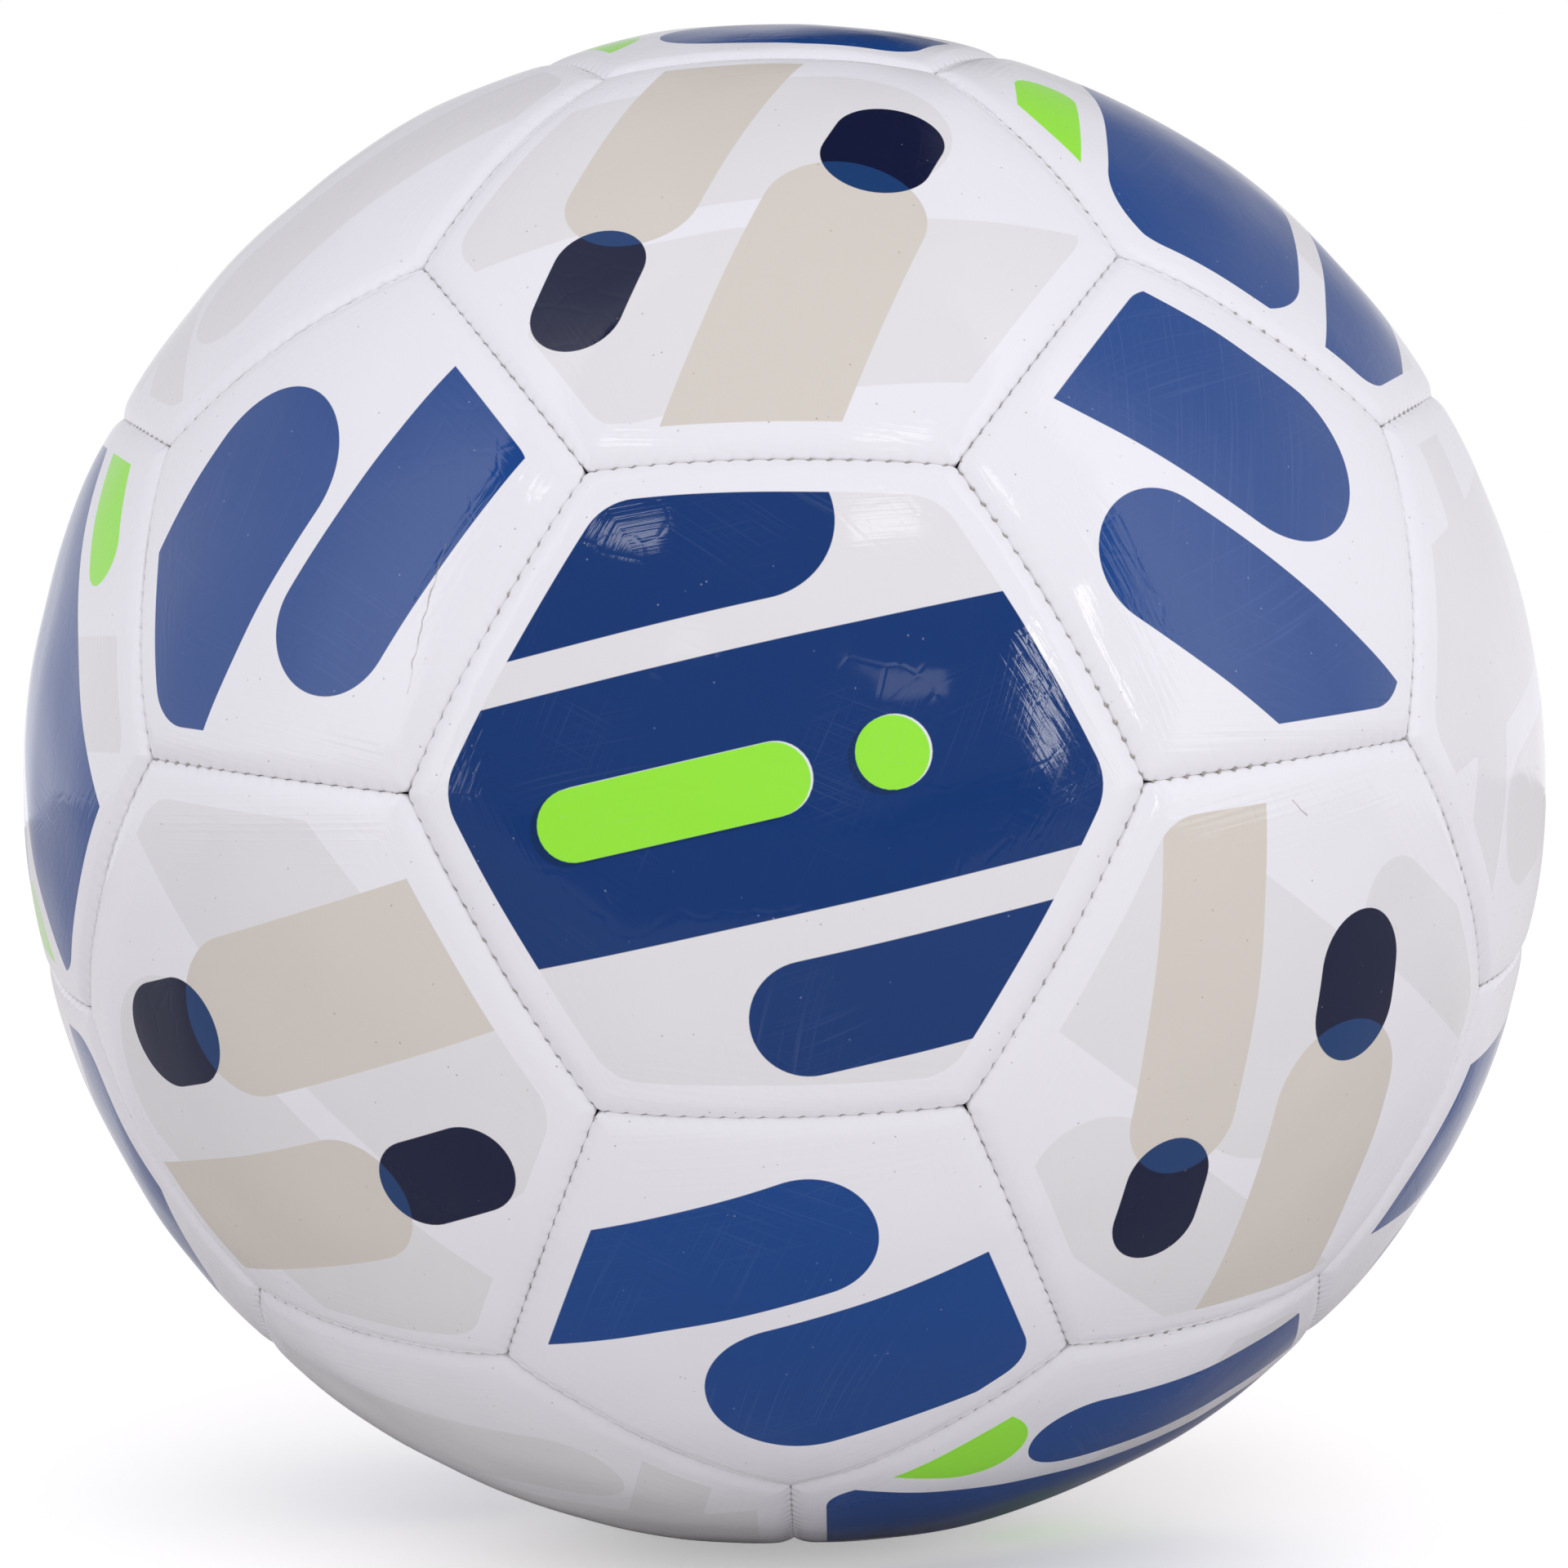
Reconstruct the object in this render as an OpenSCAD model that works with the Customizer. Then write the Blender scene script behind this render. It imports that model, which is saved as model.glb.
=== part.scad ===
// Sewn futsal ball of size 4: twelve pentagon and twenty hexagon panels around a rubber
// bladder with a low-bounce liner. Each panel is a printed skin over foam and cloth, turned
// in at its edges, and threads lie in the creases where two panels are sewn together.
// The origin is the centre of the ball and +Z is up. A hexagon faces -Y with another
// hexagon above it, and the valve sits in the opposite hexagon, on +Y. All sizes are in mm.

/* [Ball] */
// Circumference of the inflated ball
circumference = 630; // [560:1:720]

/* [Panel layers] */
// Thickness of the printed PVC skin
skin_t = 1.0; // [0.6:0.1:1.4]
// Thickness of the foam under the skin
foam_t = 1.8; // [1:0.1:3]
// Thickness of the laminated cloth lining
lining_t = 1.2; // [0.9:0.1:2]
// Glue line between two layers of a panel
glue_gap = 0.05; // [0.02:0.01:0.1]

/* [Seams] */
// Gap between the turned-in edges of two panels
seam_gap = 0.3; // [0.2:0.05:0.5]
// Width of the rolled shoulder along a panel's edge
shoulder_w = 3; // [2:0.1:4]
// Depth of the crease between two shoulders
crease_depth = 1.6; // [1.2:0.1:2]
// Diameter of the sewing thread
thread_d = 0.8; // [0.6:0.05:1.1]
// Clearance between the thread and the two shoulders that it lies on
thread_gap = 0.03; // [0.02:0.01:0.1]
// Distance from the end of a thread to the corner where three seams meet
junction_gap = 1.6; // [1.2:0.1:3]

/* [Bladder] */
// Clearance between the sewn cover and the bladder
bladder_gap = 0.2; // [0.1:0.05:0.5]
// Wall of the butyl bladder
bladder_t = 0.9; // [0.6:0.1:1.5]
// Thickness of the felt liner that takes the bounce out of the ball
liner_t = 1.4; // [1:0.1:3]
// Clearance between the liner and the valve's flange
liner_gap = 0.3; // [0.1:0.05:0.5]

/* [Valve] */
// Diameter of the valve's neck in the cover
neck_d = 8.6; // [7.4:0.1:10]
// Depth of the neck's top face under the ball's surface
neck_recess = 0.5; // [0.2:0.1:1]
// Clearance around the neck in each layer that it passes through
neck_gap = 0.15; // [0.05:0.05:0.3]
// Length of the valve's housing
housing_l = 17; // [14:0.5:24]
// Diameter of the flange that is bonded to the inside of the bladder
flange_d = 30; // [22:1:40]
// Thickness of that flange
flange_t = 1.4; // [0.8:0.1:2]
// Diameter of the insert's head
head_d = 6.4; // [5.6:0.1:6.8]
// Height of the insert's head
head_h = 1.4; // [1:0.1:2]
// Diameter of the insert's shank
shank_d = 4.4; // [4:0.1:4.8]
// Diameter of the collar that locks the insert in the housing
collar_d = 5.6; // [5.2:0.1:6]
// Height of that collar
collar_h = 2.5; // [1.5:0.1:4]
// Depth of the collar under the insert's head
collar_depth = 6; // [4:0.5:8]
// Push-fit clearance between the insert and the housing
insert_gap = 0.05; // [0.02:0.01:0.1]
// Diameter of the channel that takes the pump needle
needle_d = 2.4; // [2:0.1:2.8]
// Diameter of the reinforcing patch behind the valve panel
patch_d = 34; // [26:1:44]
// Thickness of the reinforcing patch
patch_t = 0.5; // [0.3:0.1:0.6]

/* [Hidden] */
$fn = 96;
TOTAL_PENTAGONS = 12;
TOTAL_HEXAGONS = 20;
PENTAGON = 5;
HEXAGON = 6;

// Overshoot of a cutting solid past the face that it cuts
past = 1;
// Bevels that follow the roll of a shoulder
shoulder_steps = 3;

ball_r = circumference / (2 * PI);
foam_depth = skin_t + glue_gap;
lining_depth = foam_depth + foam_t + glue_gap;
cover_r = ball_r - lining_depth - lining_t;
bladder_r = cover_r - bladder_gap;
bladder_in_r = bladder_r - bladder_t;
bonded_r = bladder_in_r - glue_gap;
neck_top = ball_r - neck_recess;
neck_bottom = neck_top - housing_l;

// Directions of the panels' centres, from the golden ratio
golden = (1 + sqrt(5)) / 2;
function unit(v) = v / norm(v);
function turned(v) = [v, [v[1], v[2], v[0]], [v[2], v[0], v[1]]];
raw_pentagons = [for (a = [-1, 1], b = [-1, 1]) each turned([0, a, b * golden])];
raw_hexagons = concat(
    [for (a = [-1, 1], b = [-1, 1], c = [-1, 1]) [a, b, c]],
    [for (a = [-1, 1], b = [-1, 1]) each turned([0, a * golden, b / golden])]
);

// Angles from the ball's centre: between panel centres, and from a centre to its edges
hexagon_pitch = acos(sqrt(5) / 3);
mixed_pitch = acos(unit([0, 1, golden]) * unit([1, 1, 1]));
function edge_angle(sides) = sides == HEXAGON ? hexagon_pitch / 2 : mixed_pitch - hexagon_pitch / 2;
function corner_angle(sides) = atan(tan(edge_angle(sides)) / cos(180 / sides));
half_seam = asin(sin(corner_angle(HEXAGON)) * sin(180 / HEXAGON));

// The ball is turned so that one hexagon faces the front and a second one lies above it
front = unit([1, 1, 1]);
function neighbours(list, d, pitch) = [for (v = list) if (abs(unit(v) * d - cos(pitch)) < 0.01) unit(v)];
above = neighbours(raw_hexagons, front, hexagon_pitch)[0];
ball_y = -front;
ball_z = unit(above - front * (front * above));
ball_x = cross(ball_y, ball_z);
function seen(list) = [for (v = list) [unit(v) * ball_x, unit(v) * ball_y, unit(v) * ball_z]];
pentagons = seen(raw_pentagons);
all_hexagons = seen(raw_hexagons);
valve_hexagon = [for (v = all_hexagons) if (v[1] > 0.99) v][0];
plain_hexagons = [for (v = all_hexagons) if (v[1] < 0.99) v];

function two_digits(i) = i < 9 ? str("0", i + 1) : str(i + 1);
function pentagon_name(i) = str("pentagon_panel_", two_digits(i));
function hexagon_name(i) = str("hexagon_panel_", two_digits(i));

// Turns +Z to the direction d, with the local +X axis leaning towards the neighbour
module aim(d, neighbour) {
    side = unit(neighbour - d * (d * neighbour));
    across = cross(d, side);
    multmatrix([
        [side[0], across[0], d[0], 0],
        [side[1], across[1], d[1], 0],
        [side[2], across[2], d[2], 0],
        [0, 0, 0, 1]
    ]) children();
}

// Puts a panel at the direction d, with its first edge towards a neighbouring hexagon
module place(d) {
    next = concat(neighbours(all_hexagons, d, hexagon_pitch), neighbours(all_hexagons, d, mixed_pitch));
    aim(d, next[0]) children();
}

// Turns +Z to the valve's axis
module on_valve() rotate([-90, 0, 0]) children();

// Round piece of the shell between two radii, centred on +Z
module cap(outer_r, inner_r, half_angle) {
    rotate_extrude()
        intersection() {
            difference() {
                circle(outer_r);
                circle(inner_r);
            }
            polygon([[0, 0], 2 * outer_r * [sin(half_angle), cos(half_angle)], [0, 2 * outer_r]]);
        }
}

// Points of a shoulder's quarter-ellipse section, from the ball's surface into the crease:
// x is the distance from the seam's axis and y the distance past the seam's plane
function shoulder_point(step) =
    let (
        turn = 90 * step / shoulder_steps,
        y = -(seam_gap / 2 + shoulder_w * (1 - sin(turn))),
        r = ball_r - crease_depth * (1 - cos(turn))
    ) [sqrt(r * r - y * y), y];

// A bevel is a sphere centred on the seam's axis that passes through two of those points
function bevel_c(step) =
    let (p = shoulder_point(step - 1), q = shoulder_point(step)) (q * q - p * p) / (2 * (q[1] - p[1]));
function bevel_r(step) = norm(shoulder_point(step) - [0, bevel_c(step)]);

module bevel(step, depth) translate([0, 0, bevel_c(step)]) sphere(bevel_r(step) - depth);

// All that lies on a panel's side of a seam's plane
module panel_side(depth) {
    side = 4 * ball_r;
    translate([-side / 2, -side / 2, -side - seam_gap / 2 - depth]) cube(side);
}

// Turns +Z to the axis of the edge that lies towards +X
module on_edge(sides) rotate([0, 90 + edge_angle(sides), 0]) children();

// Keeps what the first child shares with the second one, put on each edge in turn
module within_edges(sides, k = 0) {
    if (k == sides)
        children(0);
    else
        intersection() {
            within_edges(sides, k + 1) {
                children(0);
                children(1);
            }
            rotate([0, 0, k * 360 / sides]) on_edge(sides) children(1);
        }
}

// Rounds the edges of a panel, bevel after bevel
module rolled(sides, depth, step) {
    if (step == 0)
        children();
    else
        within_edges(sides) {
            rolled(sides, depth, step - 1) children();
            bevel(step, depth);
        }
}

// Solid form of a panel from a depth under the ball's surface down to an inner radius
module panel_form(sides, depth, inner_r) {
    rolled(sides, depth, shoulder_steps)
        within_edges(sides) {
            cap(ball_r - depth, inner_r, corner_angle(sides) + 1);
            panel_side(depth);
        }
}

// One layer of a panel, turned in at its edges like a shallow tray
module panel_layer(sides, depth, thickness) {
    difference() {
        panel_form(sides, depth, cover_r);
        panel_form(sides, depth + thickness, cover_r - past);
    }
}

// Hole for the valve's neck, from inside the bladder's wall outwards
module neck_hole() {
    on_valve() translate([0, 0, bladder_in_r - past]) cylinder(d = neck_d + 2 * neck_gap, h = ball_r);
}

// Round patch of cloth on the inside of the cover, thickened on all sides by a margin
module patch_form(margin) {
    on_valve() rotate_extrude()
        intersection() {
            difference() {
                circle(cover_r + patch_t + margin);
                circle(cover_r - margin);
            }
            square([patch_d / 2 + margin, 2 * cover_r]);
        }
}

module pentagon_panel(i) {
    color("royalblue") place(pentagons[i]) panel_layer(PENTAGON, 0, skin_t);
}

module hexagon_panel(i) {
    color("whitesmoke") place(plain_hexagons[i]) panel_layer(HEXAGON, 0, skin_t);
}

module hexagon_valve_panel() {
    color("whitesmoke") difference() {
        place(valve_hexagon) panel_layer(HEXAGON, 0, skin_t);
        neck_hole();
    }
}

module pentagon_foams() {
    color("lightyellow") for (d = pentagons) place(d) panel_layer(PENTAGON, foam_depth, foam_t);
}

module hexagon_foams() {
    color("lightyellow") {
        for (d = plain_hexagons) place(d) panel_layer(HEXAGON, foam_depth, foam_t);
        difference() {
            place(valve_hexagon) panel_layer(HEXAGON, foam_depth, foam_t);
            neck_hole();
        }
    }
}

module pentagon_linings() {
    color("linen") for (d = pentagons) place(d) panel_form(PENTAGON, lining_depth, cover_r);
}

module hexagon_linings() {
    color("linen") {
        for (d = plain_hexagons) place(d) panel_form(HEXAGON, lining_depth, cover_r);
        difference() {
            place(valve_hexagon) panel_form(HEXAGON, lining_depth, cover_r);
            neck_hole();
            patch_form(glue_gap);
        }
    }
}

// A thread lies in the crease on the last bevels of both shoulders
module seam_thread(sides) {
    clear_r = bevel_r(shoulder_steps) + thread_d / 2 + thread_gap;
    lie = sqrt(pow(clear_r, 2) - pow(bevel_c(shoulder_steps), 2));
    reach = half_seam - asin(junction_gap / ball_r);
    on_edge(sides)
        rotate_extrude(angle = 2 * reach, start = 180 - reach)
            translate([lie, 0]) circle(d = thread_d, $fn = 16);
}

module seam_threads() {
    color("gainsboro") {
        for (d = pentagons, n = neighbours(all_hexagons, d, mixed_pitch))
            aim(d, n) seam_thread(PENTAGON);
        for (i = [0 : TOTAL_HEXAGONS - 2], j = [i + 1 : TOTAL_HEXAGONS - 1])
            if (abs(all_hexagons[i] * all_hexagons[j] - cos(hexagon_pitch)) < 0.01)
                aim(all_hexagons[i], all_hexagons[j]) seam_thread(HEXAGON);
    }
}

module bladder() {
    color("dimgray") difference() {
        sphere(bladder_r);
        sphere(bladder_in_r);
        neck_hole();
    }
}

// Section of a layer that is bonded to the inside of the bladder
module bonded_section(thickness) {
    difference() {
        circle(bonded_r);
        circle(bonded_r - thickness);
    }
}

// The liner is open around the valve's flange
module bladder_liner() {
    opening_r = flange_d / 2 + liner_gap;
    color("ivory") on_valve() rotate_extrude()
        difference() {
            bonded_section(liner_t);
            translate([-2 * ball_r, -ball_r]) square(2 * ball_r);
            square([opening_r, ball_r]);
        }
}

// Section of the insert, thickened by a margin, from the head down
module insert_section(margin, bottom) {
    head_bottom = neck_top - head_h;
    translate([0, bottom]) square([shank_d / 2 + margin, neck_top - bottom]);
    translate([0, head_bottom - margin]) square([head_d / 2 + margin, head_h + margin]);
    translate([0, head_bottom - collar_depth - collar_h - margin])
        square([collar_d / 2 + margin, collar_h + 2 * margin]);
}

module valve_housing() {
    color("darkslategray") on_valve() rotate_extrude()
        difference() {
            union() {
                translate([0, neck_bottom]) square([neck_d / 2, housing_l]);
                intersection() {
                    bonded_section(flange_t);
                    square([flange_d / 2, ball_r]);
                }
            }
            insert_section(insert_gap, neck_bottom - past);
            translate([0, neck_top]) square([head_d / 2 + insert_gap, past]);
        }
}

module valve_insert() {
    color("gray") on_valve() rotate_extrude()
        difference() {
            insert_section(0, neck_bottom);
            translate([0, neck_bottom - past]) square([needle_d / 2, housing_l + 2 * past]);
        }
}

module valve_patch() {
    color("beige") difference() {
        patch_form(0);
        neck_hole();
    }
}

for (i = [0 : TOTAL_PENTAGONS - 1])
    pentagon_panel(i);
for (i = [0 : TOTAL_HEXAGONS - 2])
    hexagon_panel(i);
hexagon_valve_panel();
pentagon_foams();
hexagon_foams();
pentagon_linings();
hexagon_linings();
seam_threads();
bladder();
bladder_liner();
valve_housing();
valve_insert();
valve_patch();
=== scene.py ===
# %% [markdown]
# # A sewn futsal ball
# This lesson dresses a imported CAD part. The frame holds every solid of the ball at its true
# place, so nothing here is fitted by eye: each new piece is built in millimetres around the
# ball's centre and stands for one CAD node. We start by loading that frame, and we keep its
# box, because the finished ball may not grow out of it.

# %% Load the frame
import math

import bpy
import numpy as np
from mathutils import Matrix, Vector


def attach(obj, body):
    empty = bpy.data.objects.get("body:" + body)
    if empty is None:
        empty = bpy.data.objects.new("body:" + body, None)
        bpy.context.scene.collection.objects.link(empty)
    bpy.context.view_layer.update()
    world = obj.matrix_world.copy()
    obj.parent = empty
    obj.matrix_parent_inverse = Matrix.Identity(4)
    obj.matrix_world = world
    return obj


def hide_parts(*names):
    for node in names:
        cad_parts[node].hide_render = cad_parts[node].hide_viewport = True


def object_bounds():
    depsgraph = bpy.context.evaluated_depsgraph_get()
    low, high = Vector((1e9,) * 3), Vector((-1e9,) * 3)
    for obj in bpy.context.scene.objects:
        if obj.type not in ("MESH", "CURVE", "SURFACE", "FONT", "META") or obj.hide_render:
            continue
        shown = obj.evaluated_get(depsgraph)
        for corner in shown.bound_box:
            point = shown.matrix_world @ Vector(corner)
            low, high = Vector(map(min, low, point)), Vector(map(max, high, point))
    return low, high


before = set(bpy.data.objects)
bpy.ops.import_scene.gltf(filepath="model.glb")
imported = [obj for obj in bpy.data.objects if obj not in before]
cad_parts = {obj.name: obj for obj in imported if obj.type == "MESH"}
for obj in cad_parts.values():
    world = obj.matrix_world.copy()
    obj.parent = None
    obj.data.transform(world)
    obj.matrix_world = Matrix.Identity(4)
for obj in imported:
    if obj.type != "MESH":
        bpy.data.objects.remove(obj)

cad_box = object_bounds()
MM = 0.001
BALL_R = 630 / (2 * math.pi)
scene = bpy.context.scene
scene.view_settings.view_transform = "Standard"
print(f"{len(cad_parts)} CAD nodes, ball radius {BALL_R:.2f} mm")

# %% [markdown]
# ## The camera
# The photograph looks straight at one hexagon from less than half a metre, so the panels at
# the rim turn away quickly. A long lens far off would show more of them. The distance and the
# lens come from the places where three seams meet, and the ball is turned by about one degree.

# %% Camera
CAMERA_DISTANCE = 4.54456 * BALL_R * MM
CAMERA_TURN = Vector((0.00515, -0.01584, -0.00937))
LENS, SENSOR_WIDTH = 77.47, 36

camera_data = bpy.data.cameras.new("camera")
camera_data.lens, camera_data.sensor_width = LENS, SENSOR_WIDTH
camera = bpy.data.objects.new("camera", camera_data)
scene.collection.objects.link(camera)
scene.camera = camera
turn = Matrix.Rotation(CAMERA_TURN.length, 4, CAMERA_TURN.normalized())
step_back = Matrix.Translation((0, -CAMERA_DISTANCE, 0))
camera.matrix_world = turn.inverted() @ step_back @ Matrix.Rotation(math.radians(90), 4, "X")
print("camera at", [round(c, 4) for c in camera.matrix_world.translation])

# %% [markdown]
# ## Where the panels are
# Twelve pentagons and twenty hexagons make the pattern that has been sewn since the 1960s.
# Their centres are the corners of an icosahedron and of a dodecahedron, which the golden ratio
# gives exactly. We turn both so that one hexagon faces the camera and another lies above it,
# then look up which CAD node sits at which centre.

# %% Panel centres
GOLDEN = (1 + 5 ** 0.5) / 2
PENTAGON, HEXAGON = 5, 6
# Cosines: two directions above the first are the same, and above the second they are neighbours
SAME_WAY, NEAR = 0.99, 0.7


def unit(v):
    v = np.asarray(v, float)
    return v / np.linalg.norm(v, axis=-1, keepdims=True)


signs = (-1, 1)
rolls = [(a, b, k) for a in signs for b in signs for k in range(3)]
pentagon_axes = unit([np.roll((0, a, b * GOLDEN), k) for a, b, k in rolls])
hexagon_axes = unit(
    [(a, b, c) for a in signs for b in signs for c in signs]
    + [np.roll((0, a * GOLDEN, b / GOLDEN), k) for a, b, k in rolls]
)
front = unit((1, 1, 1))
above = max(hexagon_axes, key=lambda axis: axis @ front if axis @ front < SAME_WAY else -1)
ball_z = unit(above - front * (above @ front))
ball_turn = np.array([np.cross(-front, ball_z), -front, ball_z])
pentagon_axes = pentagon_axes @ ball_turn.T
hexagon_axes = hexagon_axes @ ball_turn.T

panel_axis = {}
for name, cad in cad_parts.items():
    if "_panel" in name:
        middle = unit(np.mean([v.co for v in cad.data.vertices], axis=0))
        axes = pentagon_axes if name.startswith("pentagon") else hexagon_axes
        panel_axis[name] = max(axes, key=lambda axis: axis @ middle)
for name, axis in sorted(panel_axis.items()):
    print(name, np.round(axis, 3))

# %% [markdown]
# ## Angles of a panel
# Every seam is a stretch of a great circle, so a panel is described by two angles from the
# ball's centre: from its axis to the middle of a side, and from the axis to a corner. Seen in
# a flat sheet that touches the ball (a gnomonic view) its sides are straight lines, which makes
# a regular polygon out of it and keeps the mesh simple.

# %% Panel angles
HEXAGON_PITCH = math.acos(5 ** 0.5 / 3)
MIXED_PITCH = math.acos(float(unit((0, 1, GOLDEN)) @ unit((1, 1, 1))))
EDGE_ANGLE = {HEXAGON: HEXAGON_PITCH / 2, PENTAGON: MIXED_PITCH - HEXAGON_PITCH / 2}
corner = math.atan(math.tan(EDGE_ANGLE[HEXAGON]) / math.cos(math.pi / HEXAGON))
HALF_SEAM = BALL_R * math.asin(math.sin(corner) * math.sin(math.pi / HEXAGON))
print(f"a seam is {2 * HALF_SEAM:.1f} mm long")


def neighbours(axis, axes):
    """Those of the axes whose panels share a seam with a panel."""
    return [other for other in axes if NEAR < other @ axis < SAME_WAY]


def panel_frame(axis):
    """Columns: towards the first neighbouring hexagon, across, and outwards."""
    side = neighbours(axis, hexagon_axes)[0]
    side = unit(side - axis * (side @ axis))
    return np.stack([side, np.cross(axis, side), axis], axis=1)


# %% [markdown]
# ## Rings of points
# A panel could be cut out of a sphere with booleans, but then its edge could not be rolled.
# Instead we lay rings of points, from the panel's middle over the rolled shoulder, down the
# turned-in edge and back along the inside. Each ring is a polygon with softly rounded corners,
# and neighbouring rings are zipped together with triangles, whatever their numbers of points.

# %% Rings and zips


def ring_outline(sides, apothem, corner_r, columns):
    """Angles and distances from the axis of a rounded polygon, in the flat sheet."""
    half = math.pi / sides
    swing = np.arctan(math.tan(half) * np.linspace(-1, 1, columns, endpoint=False))
    reach = apothem / np.cos(swing)
    if corner_r > 0:
        centre = (apothem - corner_r) / math.cos(half)
        off = half - np.abs(swing)
        arc = np.sqrt(np.maximum(corner_r ** 2 - (centre * np.sin(off)) ** 2, 0))
        arc = arc + centre * np.cos(off)
        on_arc = np.abs(np.tan(swing)) * apothem > (apothem - corner_r) * math.tan(half)
        reach = np.where(on_arc, arc, reach)
    angles = (np.arange(sides)[:, None] * 2 * half + swing).ravel()
    return angles, np.tile(np.broadcast_to(reach, swing.shape), sides)


def zip_rings(sides, start_a, columns_a, start_b, columns_b):
    """Triangles between two rings that have their own numbers of points on a side."""
    faces = []
    for s in range(sides):
        a, b = (
            [start + (s * columns + i) % max(sides * columns, 1) for i in range(columns + 1)]
            for start, columns in ((start_a, columns_a), (start_b, columns_b))
        )
        i = j = 0
        while i < columns_a or j < columns_b:
            if i == columns_a or (j < columns_b and (j + 1) * columns_a <= (i + 1) * columns_b):
                faces.append((a[i], b[j], b[j + 1]))
                j += 1
            else:
                faces.append((a[i], b[j], a[i + 1]))
                i += 1
    return faces


print(len(zip_rings(HEXAGON, 0, 0, 1, 1)), "triangles close the middle of a hexagon")

# %% [markdown]
# ## The rolled edge and the pull of the stitches
# Foam under the film makes the edge of a panel roll over in a few millimetres before it dives
# into the seam. A power of the distance gives that section, so two edges meet in an open V
# that shades softly instead of a black slit. Every 2.1 mm a stitch pulls both edges down and
# apart, which shows as a row of small grey dashes. The dashes lie aslant because the thread
# crosses from panel to panel, so each side's dip is shifted a little. A faint ripple runs along
# the edge with the stitches, as on any sewn film.

# %% Section of a panel's edge
SHOULDER_W = 2.6
CREASE_DEPTH = 0.62
CREASE_POWER = 2.2
EDGE_GAP = 0.006
CORNER_R = 1.7
STITCHES = 19
STITCH_PITCH = 2 * HALF_SEAM / STITCHES
DIP_WIDTH = 0.3
DIP_SLANT = 0.2
DIP_OPEN = 0.1
DIP_DEPTH = 0.16
DIP_REACH = 0.3
RIPPLE = 0.03
RIPPLE_REACH = 1.1


def shoulder_drop(seam):
    """Depth under the ball's surface at a distance from the seam, both in mm."""
    inward = np.clip((SHOULDER_W + EDGE_GAP - seam) / SHOULDER_W, 0, 1)
    return CREASE_DEPTH * inward ** CREASE_POWER


def stitch_dips(columns):
    """1 where a stitch pulls at one side of a panel and 0 between, sharp and as a soft ripple."""
    along = HALF_SEAM * np.linspace(-1, 1, columns, endpoint=False) - DIP_SLANT
    places = (np.arange(STITCHES) - (STITCHES - 1) / 2) * STITCH_PITCH
    sharp = np.exp(-(((along[:, None] - places) / DIP_WIDTH) ** 2)).sum(1)
    return sharp, 0.5 + 0.5 * np.cos(2 * math.pi * along / STITCH_PITCH)


print(f"{STITCHES} stitches on a seam, {STITCH_PITCH:.2f} mm apart")

# %% [markdown]
# ## The pillow of a panel
# Air presses the middle of every panel outwards, and the seams hold its edges back, so a panel is
# slightly domed. That broadens the reflections along its edges. The surface sinks with the sum of
# a fading amount from each side: the nearest side alone would leave sharp ridges to the corners.

# %% Pillow
PILLOW = 0.4
PILLOW_REACH = 5.0


def side_distances(local, sides):
    """Distances in mm from points of a panel to each of its sides."""
    turns = np.arange(sides) * 2 * math.pi / sides
    slope, rise = math.cos(EDGE_ANGLE[sides]), -math.sin(EDGE_ANGLE[sides])
    normals = np.cos(turns) * slope, np.sin(turns) * slope, np.full(sides, rise)
    normals = np.stack(normals, axis=1)
    return -BALL_R * np.arcsin(np.clip(unit(local) @ normals.T, -1, 1))


def pillow_drop(distances):
    """How far the surface sinks towards the seams, in mm."""
    return PILLOW * np.exp(-distances / PILLOW_REACH).sum(-1)


sunk = pillow_drop(side_distances(np.array([(0, 0, 1)]), HEXAGON))
print(f"sinks {float(sunk[0]):.3f} mm in a hexagon's middle and {PILLOW} mm at a seam")

# %% [markdown]
# ## One layer of a panel
# Skin, foam and lining are the same tray, one inside the other: each is set in from the one
# outside it. So one set of functions lays the rings for all of them. A ring is kept as its
# distance from the axis in the flat sheet, the radius of its corners, its depth and the number of
# its points on a side. Near the seam a ring also takes the stitches' pull.

# %% Rings of a layer
COVER_DEPTH = 4.1
HOLE_COLUMNS = 12
# The round of a hole has turned into the panel's polygon after this share of the rows
HOLE_SHARE = 1 / 3
# The flat sheet is that much larger than the ball at the edge of a panel
SHEET_STRETCH = 1.15
FOOT_W = 0.4


def edge_ring(sides, seam, depth, columns, pull=False):
    """One ring at a distance from the seam."""
    dip, ripple = stitch_dips(columns) if pull else np.zeros((2, columns))
    dip = dip * math.exp(-(seam - EDGE_GAP) / DIP_REACH)
    ripple = ripple * RIPPLE * math.exp(-(seam - EDGE_GAP) / RIPPLE_REACH)
    apothem = np.tan(EDGE_ANGLE[sides] - (seam + DIP_OPEN * dip) / BALL_R)
    corner_r = max(CORNER_R - seam, 0) / BALL_R * SHEET_STRETCH
    return apothem, corner_r, depth + DIP_DEPTH * dip + ripple, columns


def face_rings(sides, depth, rows, from_seam, hole, recess=(0, 0)):
    """Rings from a panel's middle, or from its hole, to the foot of the shoulder."""
    widest = math.tan(EDGE_ANGLE[sides] - (SHOULDER_W + FOOT_W + from_seam) / BALL_R)
    rings = []
    for row in range(rows + 1):
        apothem = hole + (widest - hole) * row / rows
        columns = max(row, HOLE_COLUMNS) if hole else row
        corner_r = apothem * max(0, 1 - row / rows / HOLE_SHARE) if hole else 0
        lowered = recess[1] if apothem * BALL_R < recess[0] else 0
        rings.append((np.full(columns, apothem), corner_r, depth - lowered, columns))
    return rings


print(f"the cover is {COVER_DEPTH} mm deep")

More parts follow.
